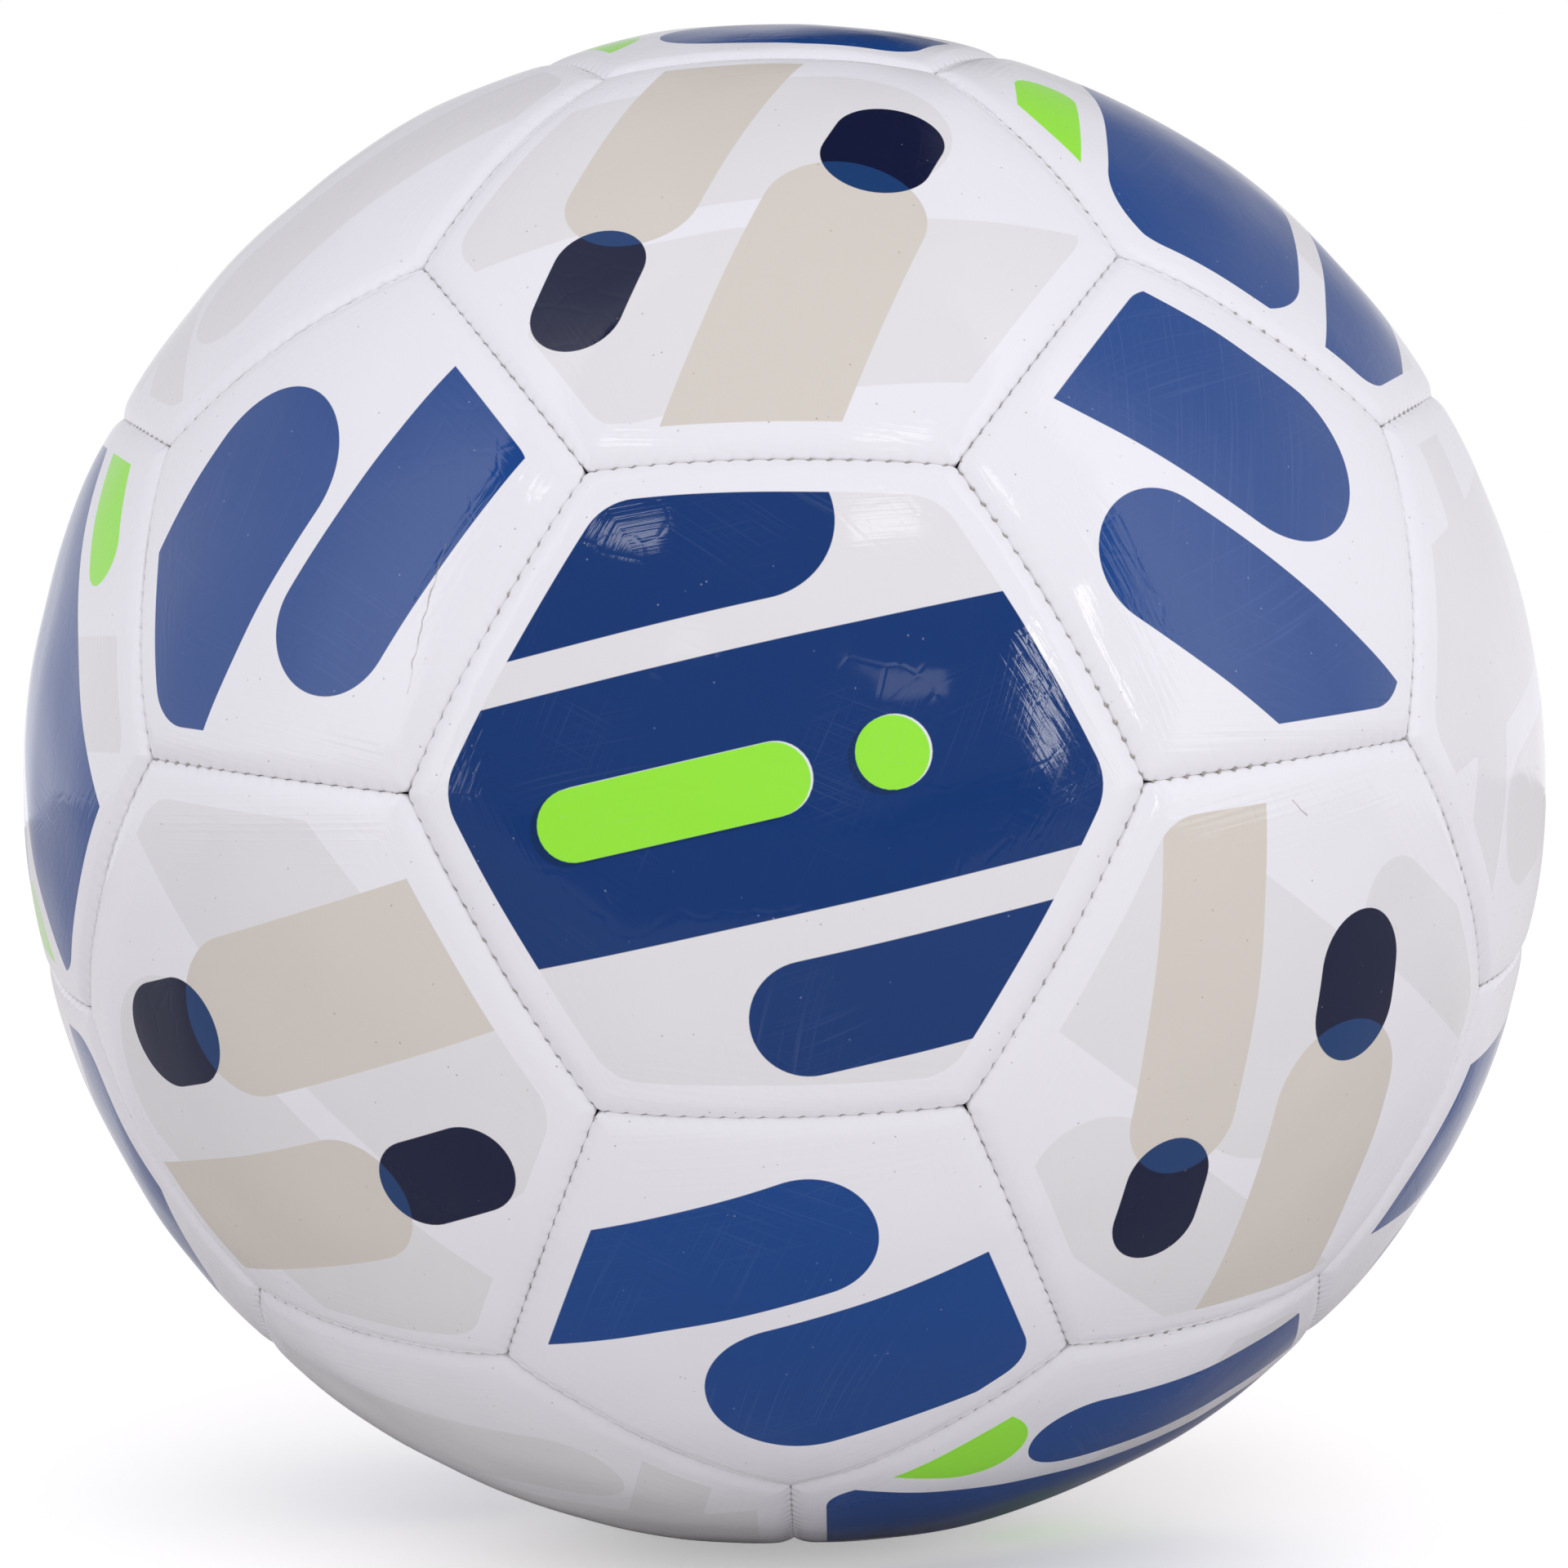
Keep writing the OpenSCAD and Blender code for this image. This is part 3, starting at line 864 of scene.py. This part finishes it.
crumples = add(tree, "TexNoise", {"Vector": edgewise, "Scale": 1.0, "Detail": 2.0})
rolled = add(tree, "MapRange", (from_seam, 7.0, 14.0, 0.045, 0.0))
worked = add(tree, "MapRange", (pressed, 0.0, 1.0, 0.5, 1.0))
rolled = add(tree, "Math", (rolled, worked), operation="MULTIPLY")
relief = folds
for part, height in ((crumples, rolled), (peel, 0.003), (scratches, -0.003), (crack, -0.03)):
    relief = add(tree, "Math", (part, height, relief), operation="MULTIPLY_ADD")
bump = add(tree, "Bump", {"Strength": 1.0, "Distance": MM, "Height": relief}, output="Normal")
flooded = add(tree, "Math", (dark_ink, inked["navy"]), operation="MAXIMUM")
shine = add(tree, "MapRange", (flooded, 0.0, 1.0, BARE_SHINE, INKED_SHINE))
shader = add(tree, "BsdfPrincipled", {
    "Base Color": film, "Roughness": gloss, "Normal": bump,
    "IOR": PVC_IOR, "Specular IOR Level": shine,
})
add(tree, "OutputMaterial", {"Surface": shader}, output=None)
for skin in skins:
    skin.data.materials.append(printed_film)
print(len(tree.nodes), "nodes in the printed film")

# %% [markdown]
# ## One stitch
# A strong polyester thread closes each seam from the inside, so only short crossings show at
# the bottom of the crease. A bevelled curve for each would be 1710 objects. One mesh of small
# bent tubes is lighter: the strand rises from one panel's edge, crosses aslant and dives again.

# %% One stitch
STRAND_R, STRAND_TIP = 0.19, 0.5
STRAND_RINGS, STRAND_SIDES = 7, 6
STRAND_DEPTH, STRAND_DIVE = 0.82, 0.75
HALF_CROSSING, HALF_ADVANCE = 0.42, 1.35 * DIP_SLANT


def strand(middle, across, along, sunk):
    """Rings of points of one crossing, in mm."""
    t = np.linspace(-1, 1, STRAND_RINGS)[:, None]
    depth = STRAND_DEPTH + sunk + STRAND_DIVE * t ** 2
    line = middle * (BALL_R - depth) + across * HALF_CROSSING * t - along * HALF_ADVANCE * t
    way = unit(np.gradient(line, axis=0))
    side = unit(np.cross(way, middle))
    up = np.cross(side, way)
    turns = np.linspace(0, 2 * math.pi, STRAND_SIDES, endpoint=False)[:, None]
    thin = STRAND_R * np.where(np.abs(t) == 1, STRAND_TIP, 1)
    around = side[:, None] * np.cos(turns) + up[:, None] * np.sin(turns)
    return line[:, None] + thin[:, None] * around


strand_faces = []
last = (STRAND_RINGS - 1) * STRAND_SIDES
for start in range(0, last, STRAND_SIDES):
    strand_faces += zip_rings(1, start, STRAND_SIDES, start + STRAND_SIDES, STRAND_SIDES)
for k in range(1, STRAND_SIDES - 1):
    strand_faces += [(0, k, k + 1), (last, last + k + 1, last + k)]
strand_faces = np.array(strand_faces)
print(len(strand_faces), "triangles in a stitch")

# %% [markdown]
# ## All the stitches
# A seam lies between two hexagons, or between a hexagon and a pentagon, half-way along the
# angle from one axis to the other as the panels' sizes share it. Along each seam the stitches are
# evenly spaced, in the same places as the dips in the panels' edges. Near the seam's ends the
# sides of other panels come in aslant and pull them deeper.

# %% Stitches
ASLANT = 0.9
strands = []
for i, axis in enumerate(hexagon_axes):
    for other in neighbours(axis, [*hexagon_axes[i + 1:], *pentagon_axes]):
        side = unit(other - axis * (other @ axis))
        seam_middle = axis * math.cos(EDGE_ANGLE[HEXAGON]) + side * math.sin(EDGE_ANGLE[HEXAGON])
        along = np.cross(axis, side)
        for swing in (np.arange(STITCHES) - (STITCHES - 1) / 2) * STITCH_PITCH / BALL_R:
            middle = seam_middle * math.cos(swing) + along * math.sin(swing)
            forward = along * math.cos(swing) - seam_middle * math.sin(swing)
            to_ends = ASLANT * (HALF_SEAM + np.array((-1, 1)) * swing * BALL_R)
            sunk = pillow_drop(np.array((0, *to_ends))) * (1 - CREASE_DEPTH / COVER_DEPTH)
            strands.append(strand(middle, np.cross(forward, middle), forward, sunk).reshape(-1, 3))
offsets = np.arange(len(strands))[:, None, None] * STRAND_RINGS * STRAND_SIDES
faces = (strand_faces + offsets).reshape(-1, 3)
points = np.concatenate(strands)
stitches = make_piece("seam_stitches", "seam_threads", points, faces)
print(f"{len(strands) // STITCHES} seams with {len(strands)} stitches")

# %% [markdown]
# ## Foam and lining
# Under each skin lies a tray of foam, and under that a plug of woven cloth, both glued. They
# follow the skin's rolled edge, so the same function makes them, a little further in each time.
# All the pentagons' foams are one CAD node, so they become one piece, and so on.

# %% Foam and lining
LAYERS = {
    "foams": (1.05, 1.8, "panel_foam"),
    "linings": (2.9, 1.2, "cloth_lining"),
}
LAYER_ROWS = 8
PATCH_R = 17.0
PATCH_ROOM = (PATCH_R + 0.1, 0.55)
inner_layers = {}
for layer, (inset, thickness, slot_name) in LAYERS.items():
    room = PATCH_ROOM if layer == "linings" else (0, 0)
    for sides, axes in ((PENTAGON, pentagon_axes), (HEXAGON, hexagon_axes)):
        facts = (sides, inset, thickness, LAYER_ROWS, LAYER_SHOULDER)
        plain, with_hole = tray(*facts), tray(*facts, hole_r=VALVE_HOLE_R, recess=room)
        all_points, all_faces, count = [], [], 0
        for axis in axes:
            valve_here = sides == HEXAGON and axis[1] > SAME_WAY
            local, _, faces = with_hole if valve_here else plain
            all_points.append(uneven(local @ panel_frame(axis).T))
            all_faces.append(faces + count)
            count += len(local)
        name = ("pentagon_" if sides == PENTAGON else "hexagon_") + layer
        points, faces = np.concatenate(all_points), np.concatenate(all_faces)
        inner_layers[name] = make_piece(name + "_layer", name, points, faces)
        print(name, count, "points")

# %% [markdown]
# ## Turned parts
# The bladder, its liner, the patch and the valve are round about the valve's axis, so each
# is a section turned about +Y. A section that starts and ends on the axis closes there in a
# point, and one that doesn't is closed into a ring.

# %% Turned parts


def turned(section, columns=96):
    """Points and triangles of a section of (radius, height) pairs turned about +Y."""
    points, starts, counts, faces = [], [0], [], []
    for radius, height in section:
        count = columns if radius > 1e-6 else 0
        turns = np.linspace(0, 2 * math.pi, max(count, 1), endpoint=False)
        ring = radius * np.cos(turns), np.full(len(turns), height), radius * np.sin(turns)
        points.append(np.stack(ring, axis=1))
        starts.append(starts[-1] + len(turns))
        counts.append(count)
    pairs = [(k, k + 1) for k in range(len(section) - 1)]
    if counts[0]:
        pairs.append((len(section) - 1, 0))
    for a, b in pairs:
        faces += zip_rings(1, starts[a], counts[a], starts[b], counts[b])
    points, faces = np.concatenate(points), np.array(faces)
    a, b, c = points[faces[:, 0]], points[faces[:, 1]], points[faces[:, 2]]
    if (a * np.cross(b, c)).sum() < 0:
        faces = faces[:, ::-1]
    return points, faces


def arc_section(radius, start, end, steps):
    """Section points on a sphere about the ball's centre, between two angles from +Y."""
    angles = np.linspace(start, end, steps)
    return [(abs(radius * math.sin(t)), radius * math.cos(t)) for t in angles]


def turned_piece(name, section, rough=0.0):
    """The piece for a CAD node, with a share of the unevenness, three times finer."""
    points, faces = turned(section)
    print(name, len(points), "points")
    return make_piece(name + "_turned", name, uneven(points, rough, 3), faces)


points, faces = turned([(0, 1), (1, 0), (0, -1)], columns=6)
print(f"a double cone of {len(points)} points and {len(faces)} triangles closes at both ends")

# %% [markdown]
# ## Bladder, liner and patch
# The bladder is moulded in two halves, which leaves a fine ridge around its middle. The felt
# inside it takes the bounce out of the ball and stops short of the valve's flange. The patch
# is a round of cloth that keeps the valve panel from tearing.

# %% Bladder, liner and patch
BLADDER_R = 95.968
BLADDER_IN_R = BLADDER_R - 0.9
BONDED_R = BLADDER_IN_R - 0.05
LINER_T = 1.4
LINER_OPENING_R = 15.3
PATCH_IN_R = BALL_R - COVER_DEPTH
PATCH_T = 0.5
RIDGE, RIDGE_W = 0.14, 0.6


def cap_section(radius, first_r, last_r, steps):
    """Section points on a sphere from one distance off the axis to another, 0 for the far pole."""
    ends = [math.asin(r / radius) if r else math.pi for r in (first_r, last_r)]
    return arc_section(radius, *ends, steps)


outside = cap_section(BLADDER_R, VALVE_HOLE_R, 0, 361)
outside = [(r + RIDGE * math.exp(-((y / RIDGE_W) ** 2)), y) for r, y in outside]
inside_wall = cap_section(BLADDER_IN_R, 0, VALVE_HOLE_R, 60)
bladder = turned_piece("bladder", outside + inside_wall)
outside = cap_section(BONDED_R, LINER_OPENING_R, 0, 120)
inside_wall = cap_section(BONDED_R - LINER_T, 0, LINER_OPENING_R, 120)
liner = turned_piece("bladder_liner", outside + inside_wall, rough=1.0)
outside = cap_section(PATCH_IN_R + PATCH_T, VALVE_HOLE_R, PATCH_R, 16)
inside_wall = cap_section(PATCH_IN_R, PATCH_R, VALVE_HOLE_R, 16)
patch = turned_piece("valve_patch", outside + inside_wall)

# %% [markdown]
# ## The valve
# A moulded rubber housing is bonded into the bladder by its flange and stands in the hole of
# the panel behind. A softer insert is pushed into it: its head has a small funnel that guides
# the pump's needle into the channel. Moulded edges are never sharp, so the sections are rounded.

# %% Valve
NECK_TOP = BALL_R - 0.5
NECK_BOTTOM = NECK_TOP - 17
HEAD_BOTTOM = NECK_TOP - 1.4
COLLAR_TOP, COLLAR_BOTTOM = HEAD_BOTTOM - 6, HEAD_BOTTOM - 8.5
FLANGE_R, FLANGE_T = 15.0, 1.4
FIT = 0.05


def at_level(level, *pairs):
    """Section points whose heights are given from a level."""
    return [(radius, level + height) for radius, height in pairs]


housing = turned_piece(
    "valve_housing",
    at_level(NECK_TOP, (3.25, -0.3), (3.33, -0.12), (3.5, -0.02), (3.8, 0), (4.05, -0.03))
    + at_level(NECK_TOP, (4.2, -0.13), (4.28, -0.3), (4.3, -0.6))
    + [(4.3, 96.0), (4.35, 95.3), (4.6, 95.0)]
    + cap_section(BONDED_R, 5.2, FLANGE_R - 0.2, 14)
    + cap_section(BONDED_R - FLANGE_T, FLANGE_R, 5.4, 14)
    + [(4.6, 93.2), (4.3, 92.6)]
    + at_level(NECK_BOTTOM, (4.3, 0.5), (4.1, 0.1), (3.8, 0), (2.4, 0), (2.25, 0.1))
    + at_level(COLLAR_BOTTOM, (2.25, -FIT), (2.85, -FIT))
    + at_level(COLLAR_TOP, (2.85, FIT), (2.25, FIT))
    + at_level(HEAD_BOTTOM, (2.25, -FIT), (3.25, -FIT)),
)
insert = turned_piece(
    "valve_insert",
    at_level(NECK_TOP, (1.2, -1.1), (1.24, -0.6), (1.4, -0.3), (1.8, -0.1), (2.3, -0.02))
    + at_level(NECK_TOP, (2.75, -0.03), (3.05, -0.12), (3.17, -0.3), (3.2, -0.6))
    + at_level(HEAD_BOTTOM, (3.2, 0), (2.2, 0))
    + at_level(COLLAR_TOP, (2.2, 0), (2.5, 0), (2.8, -0.4))
    + at_level(COLLAR_BOTTOM, (2.8, 0.4), (2.5, 0), (2.2, 0))
    + at_level(NECK_BOTTOM, (2.2, 0.3), (2.0, 0), (1.2, 0)),
)

# %% [markdown]
# ## Foam, felt, thread and rubber
# These finishes differ in structure more than in colour. Each row of the table names the
# material and how it was made, the pattern that stands for its structure with its size in mm
# along three directions, two close colours, a roughness, the relief in mm, an IOR and a sheen.

# %% Table of finishes
FINE, BROAD = (0.25, 0.25, 0.25), (5, 5, 5)
FINISHES = {
    # A froth of closed cells, which looks like matt pale sponge
    "closed_cell_eva_foam":
        ("Voronoi", (0.5, 0.5, 0.5), "#D9D2BE", "#F1ECDD", 0.75, 0.08, 1.48, 0.0),
    # Fibres tangled by barbed needles, soft to the eye with a bright fringe
    "needled_polyester_felt": ("Noise", (3, 0.3, 0.3), "#B7B0A0", "#DAD4C6", 0.85, 0.2, 1.5, 0.5),
    # Filaments twisted to a thread, grey with dirt and slightly silky
    "twisted_polyester_thread": ("Noise", FINE, "#8C8780", "#BCB7AF", 0.6, 0.05, 1.55, 0.2),
    # Black rubber from a mould, dulled by a bloom of wax
    "moulded_butyl_rubber": ("Noise", BROAD, "#1B1B1D", "#2E2E31", 0.55, 0.03, 1.52, 0.0),
    # The same rubber with more filler, a little greyer where it shows in the panel's hole
    "moulded_valve_rubber": ("Noise", BROAD, "#222224", "#37373A", 0.5, 0.03, 1.52, 0.0),
    # Softer rubber without carbon black, so a lighter grey
    "moulded_insert_rubber": ("Noise", BROAD, "#4A4A4C", "#616164", 0.5, 0.03, 1.52, 0.0),
}
print(len(FINISHES), "finishes in the table")

# %% [markdown]
# ## From the table to materials
# All of them are built alike: the pattern, drawn to its size, mixes the two colours, changes the
# roughness a little and gives the relief.

# %% Plain finishes
finish_of = {}
UNEVEN_GLOSS = 0.08


def finish(tree, height, dark, light, roughness, relief_mm, ior, sheen):
    """Colour, roughness and relief of a material from one pattern between 0 and 1."""
    colour = add(tree, "Mix", {0: height, 6: linear(dark), 7: linear(light)}, **COLOURS)
    relief = {"Strength": 0.6, "Distance": relief_mm * MM, "Height": height}
    gloss = (height, 0.0, 1.0, roughness + UNEVEN_GLOSS, roughness - UNEVEN_GLOSS)
    shader = add(tree, "BsdfPrincipled", {
        "Base Color": colour, "Roughness": add(tree, "MapRange", gloss), "IOR": ior,
        "Normal": add(tree, "Bump", relief, output="Normal"), "Sheen Weight": sheen,
    })
    add(tree, "OutputMaterial", {"Surface": shader}, output=None)


for name, (pattern, sizes, *facts) in FINISHES.items():
    finish_of[name], tree = new_material(name)
    scales = tuple(per_mm(size) for size in sizes)
    drawn = add(tree, "Mapping", {0: add(tree, "TexCoord", output="Object"), 3: scales})
    height = add(tree, "Tex" + pattern, {"Vector": drawn, "Scale": 1.0, "Detail": 4.0})
    finish(tree, height, *facts)
print(", ".join(finish_of))

# %% [markdown]
# ## Woven cloth
# The lining is a plain weave of polyester and cotton, threads over and under each other 0.6 mm
# apart, with a dull sheen. So fine a weave blurs in a baked picture, so it is drawn 1.2 mm apart.
# Waves in three directions are put together, so that every side of the ball shows two of them
# crossing.

# %% Woven cloth
# To the eye a dull cream cloth with a fine grid of threads
finish_of["woven_polycotton_backing"], tree = new_material("woven_polycotton_backing")
place = add(tree, "TexCoord", output="Object")
WEAVE = 1.2
WAVES_PER_UNIT = 20 / (2 * math.pi)
woven = 0.0
for way in ("X", "Y", "Z"):
    threads = {"Vector": place, "Scale": per_mm(WEAVE) / WAVES_PER_UNIT, "Distortion": 0.4}
    wave = add(tree, "TexWave", threads, bands_direction=way)
    woven = add(tree, "Math", (woven, wave), operation="MAXIMUM")
finish(tree, woven, "#C9C3B2", "#EDE9DC", 0.8, 0.12, 1.5, 0.3)
print(len(tree.nodes), "nodes in the woven cloth")

# %% [markdown]
# ## Who wears what
# Every piece gets one finish. The patch is cut from the same cloth as the linings.

# %% Finishes on the pieces
foams, linings = (
    [inner_layers[f"{shape}_{layer}"] for shape in ("pentagon", "hexagon")] for layer in LAYERS
)
worn_by = {
    "closed_cell_eva_foam": foams,
    "woven_polycotton_backing": [*linings, patch],
    "needled_polyester_felt": [liner],
    "twisted_polyester_thread": [stitches],
    "moulded_butyl_rubber": [bladder],
    "moulded_valve_rubber": [housing],
    "moulded_insert_rubber": [insert],
}
for name, wearers in worn_by.items():
    for piece in wearers:
        piece.data.materials.append(finish_of[name])
print({name: len(wearers) for name, wearers in worn_by.items()})

# %% [markdown]
# ## The patch's cloth area
# A cut panel's area is half of its piece's surface, because the piece has two faces.


def cut_area(piece):
    """Half of a piece's surface, in square metres."""
    return sum(face.area for face in piece.data.polygons) / 2


print(f"valve patch: {cut_area(patch) * 1e4:.1f} square centimetres of cloth")

# %% [markdown]
# ## The floor
# The object was photographed in white surroundings and cut out. A pale sheet of paper gives
# that. The camera sees it lifted to white, with the ball's own shadow left on it. In the ball's
# gloss alone, shade is painted into the paper's colour: it is dim on the front side, and dark
# beyond a line like a table's edge, which runs across in front of the ball and then away to both
# sides.

# %% Floor
FLOOR_HALF = 6.0
# The painted shade in the gloss: where its line, like a table's edge, runs in metres, and its
# levels before and past that line
SHADE_LINE_FRONT, SHADE_LINE_SIDES, SHADE_LINE_BLUR = 0.36, 0.24, 0.03
PAINTED_SHADE_NEAR, PAINTED_SHADE_FAR, BACK_AT = 0.62, 0.85, 0.2
LIFT = 0.38
floor_z = cad_box[0].z
corners = [(x * FLOOR_HALF, y * FLOOR_HALF, floor_z) for x in signs for y in signs]
floor_mesh = bpy.data.meshes.new("floor")
floor_mesh.from_pydata(corners, [], [(0, 2, 3, 1)])
floor = bpy.data.objects.new("floor", floor_mesh)
scene.collection.objects.link(floor)
# Uncoated paper: to the eye an even white that takes a soft shadow and has no gloss
matt_paper, tree = new_material("matt_studio_paper")
rays = add(tree, "LightPath", output=None).outputs
spot = add(tree, "NewGeometry", output="Position")
x, y, _ = add(tree, "SeparateXYZ", (spot,), output=None).outputs
aside = add(tree, "Math", (x,), operation="ABSOLUTE")
table = add(tree, "Math", (aside, SHADE_LINE_SIDES), operation="ADD")
table = add(tree, "Math", (table, SHADE_LINE_FRONT), operation="MAXIMUM")
inside = add(tree, "Math", (table, y), operation="ADD")
shade = add(tree, "MapRange", (inside, -SHADE_LINE_BLUR, 0.0, PAINTED_SHADE_FAR, PAINTED_SHADE_NEAR))
in_front = add(tree, "MapRange", (y, 0.0, BACK_AT, 1.0, 0.0))
for share in (in_front, rays["Is Glossy Ray"]):
    shade = add(tree, "Math", (shade, share), operation="MULTIPLY")
# Painted shade: for glossy rays the paper's colour is darkened towards black in front of the ball
colour = add(tree, "Mix", {0: shade, 6: linear("#F4F2F0"), 7: (0, 0, 0, 1)}, **COLOURS)
paper = add(tree, "BsdfDiffuse", {"Color": colour})
to_camera = add(tree, "Math", (rays["Is Camera Ray"], LIFT), operation="MULTIPLY")
lift = add(tree, "Emission", {"Color": (1, 1, 1, 1), "Strength": to_camera})
lifted_paper = add(tree, "AddShader", (paper, lift))
add(tree, "OutputMaterial", {"Surface": lifted_paper}, output=None)
floor_mesh.materials.append(matt_paper)
print(f"floor at {floor_z:.4f} m")

# %% [markdown]
# ## The tent
# A white tent lights the ball evenly from all round, at a plain level, and the camera sees it
# as white. Its reflection matters more than its light: glossy rays meet a dark opening on the
# front side, where a photographer works, which runs on overhead as a narrow strip. The cloth
# beside the opening is the brightest, as it is lit from there, and the tent gets dimmer towards
# the top and the back.

# %% Tent
MIDDLE, OPENING_LEVEL = 0.06, 0.1
OPENING_SPREAD, STRIP_SPREAD, STRIP_START = 1.28, 0.35, 0.1
OPENING_EDGE, BACK_SHARE = (-0.05, 0.03), 0.5
# Where the cloth's level starts and stops changing, and its levels there
BESIDE_OPENING = (-0.5, -0.1, 1.6, 0.9)
TOWARDS_TOP = (0.45, 1.05, 1.2, 0.25)
TENT_LEVEL, CLOTH = 0.775, linear("#FBFAFF")
world = bpy.data.worlds.new("white_tent")
scene.world = world
world.use_nodes = True
tree = world.node_tree
tree.nodes.clear()
rays = add(tree, "LightPath", output=None).outputs
way = add(tree, "TexCoord", output="Generated")
x, y, z = add(tree, "SeparateXYZ", (way,), output=None).outputs
from_middle = add(tree, "Math", (x, MIDDLE), operation="SUBTRACT")
from_middle = add(tree, "Math", (from_middle,), operation="ABSOLUTE")
ahead = add(tree, "Math", (y, -OPENING_SPREAD), operation="MULTIPLY")
overhead = add(tree, "Math", (z, STRIP_SPREAD, -STRIP_START), operation="MULTIPLY_ADD")
half_width = add(tree, "Math", (ahead, overhead), operation="MAXIMUM")
outside = add(tree, "Math", (from_middle, half_width), operation="SUBTRACT")
mirrored = add(tree, "MapRange", (outside, *OPENING_EDGE, OPENING_LEVEL, 1.0))
bright = add(tree, "MapRange", (y, *BESIDE_OPENING))
height = add(tree, "Math", (y, BACK_SHARE, z), operation="MULTIPLY_ADD")
high = add(tree, "MapRange", (height, *TOWARDS_TOP))
for share in (bright, high):
    mirrored = add(tree, "Math", (mirrored, share), operation="MULTIPLY")
lit = add(tree, "Background", {"Color": CLOTH, "Strength": TENT_LEVEL})
shiny = add(tree, "Background", {"Color": CLOTH, "Strength": mirrored})
white = add(tree, "Background", {"Color": (1, 1, 1, 1), "Strength": 1.0})
straight = rays["Is Camera Ray"], rays["Is Transmission Ray"]
seen = add(tree, "Math", straight, operation="MAXIMUM")
tent = add(tree, "MixShader", (rays["Is Glossy Ray"], lit, shiny))
tent = add(tree, "MixShader", (seen, tent, white))
add(tree, "OutputWorld", {"Surface": tent}, output=None)
print(len(tree.nodes), "nodes in the tent")

# %% [markdown]
# ## The lamps
# One large soft lamp from the upper front gives the ball its shape, and it is left out of the
# gloss. Small soft boxes are there for the gloss alone: each is placed where the mirror image of
# its patch on the ball points, so the patches fall where the film shows them.

# %% Lamps


def lamp(name, direction, distance, size, level, in_gloss):
    """A soft box aimed at the ball; level 1 lights white paper there to white."""
    data = bpy.data.lights.new(name, "AREA")
    data.shape = "RECTANGLE"
    data.size, data.size_y = size
    data.energy = level * math.pi ** 2 * distance ** 2
    made = bpy.data.objects.new(name, data)
    scene.collection.objects.link(made)
    direction = Vector(direction).normalized()
    made.location = direction * distance
    made.rotation_mode = "QUATERNION"
    made.rotation_quaternion = direction.to_track_quat("Z", "Y")
    made.visible_camera = False
    made.visible_glossy = in_gloss


lamp("key_lamp", (0.12, -0.72, 0.67), 1.4, (0.9, 0.9), 0.19, False)
BOX_DISTANCE = 1.2
# Direction from the ball, size in metres and level of each soft box
SOFT_BOXES = {
    "left_box": ((-0.358, -0.718, 0.597), (0.16, 0.1), 0.014),
    "right_box": ((0.266, -0.761, 0.591), (0.2, 0.12), 0.021),
    "left_low_box": ((-0.2, -0.945, 0.259), (0.12, 0.11), 0.0025),
    "right_low_box": ((0.263, -0.931, 0.251), (0.15, 0.11), 0.004),
    "right_side_box": ((0.64, -0.74, 0.21), (0.08, 0.42), 0.05),
}
for name, (direction, size, level) in SOFT_BOXES.items():
    lamp(name, direction, BOX_DISTANCE, size, level, True)

# %% [markdown]
# ## The CAD box
# Dressing a part must not change its size. The upper corner of the CAD model's box is written out.

# %% CAD box
print("CAD box", [round(c, 4) for c in cad_box[1]])
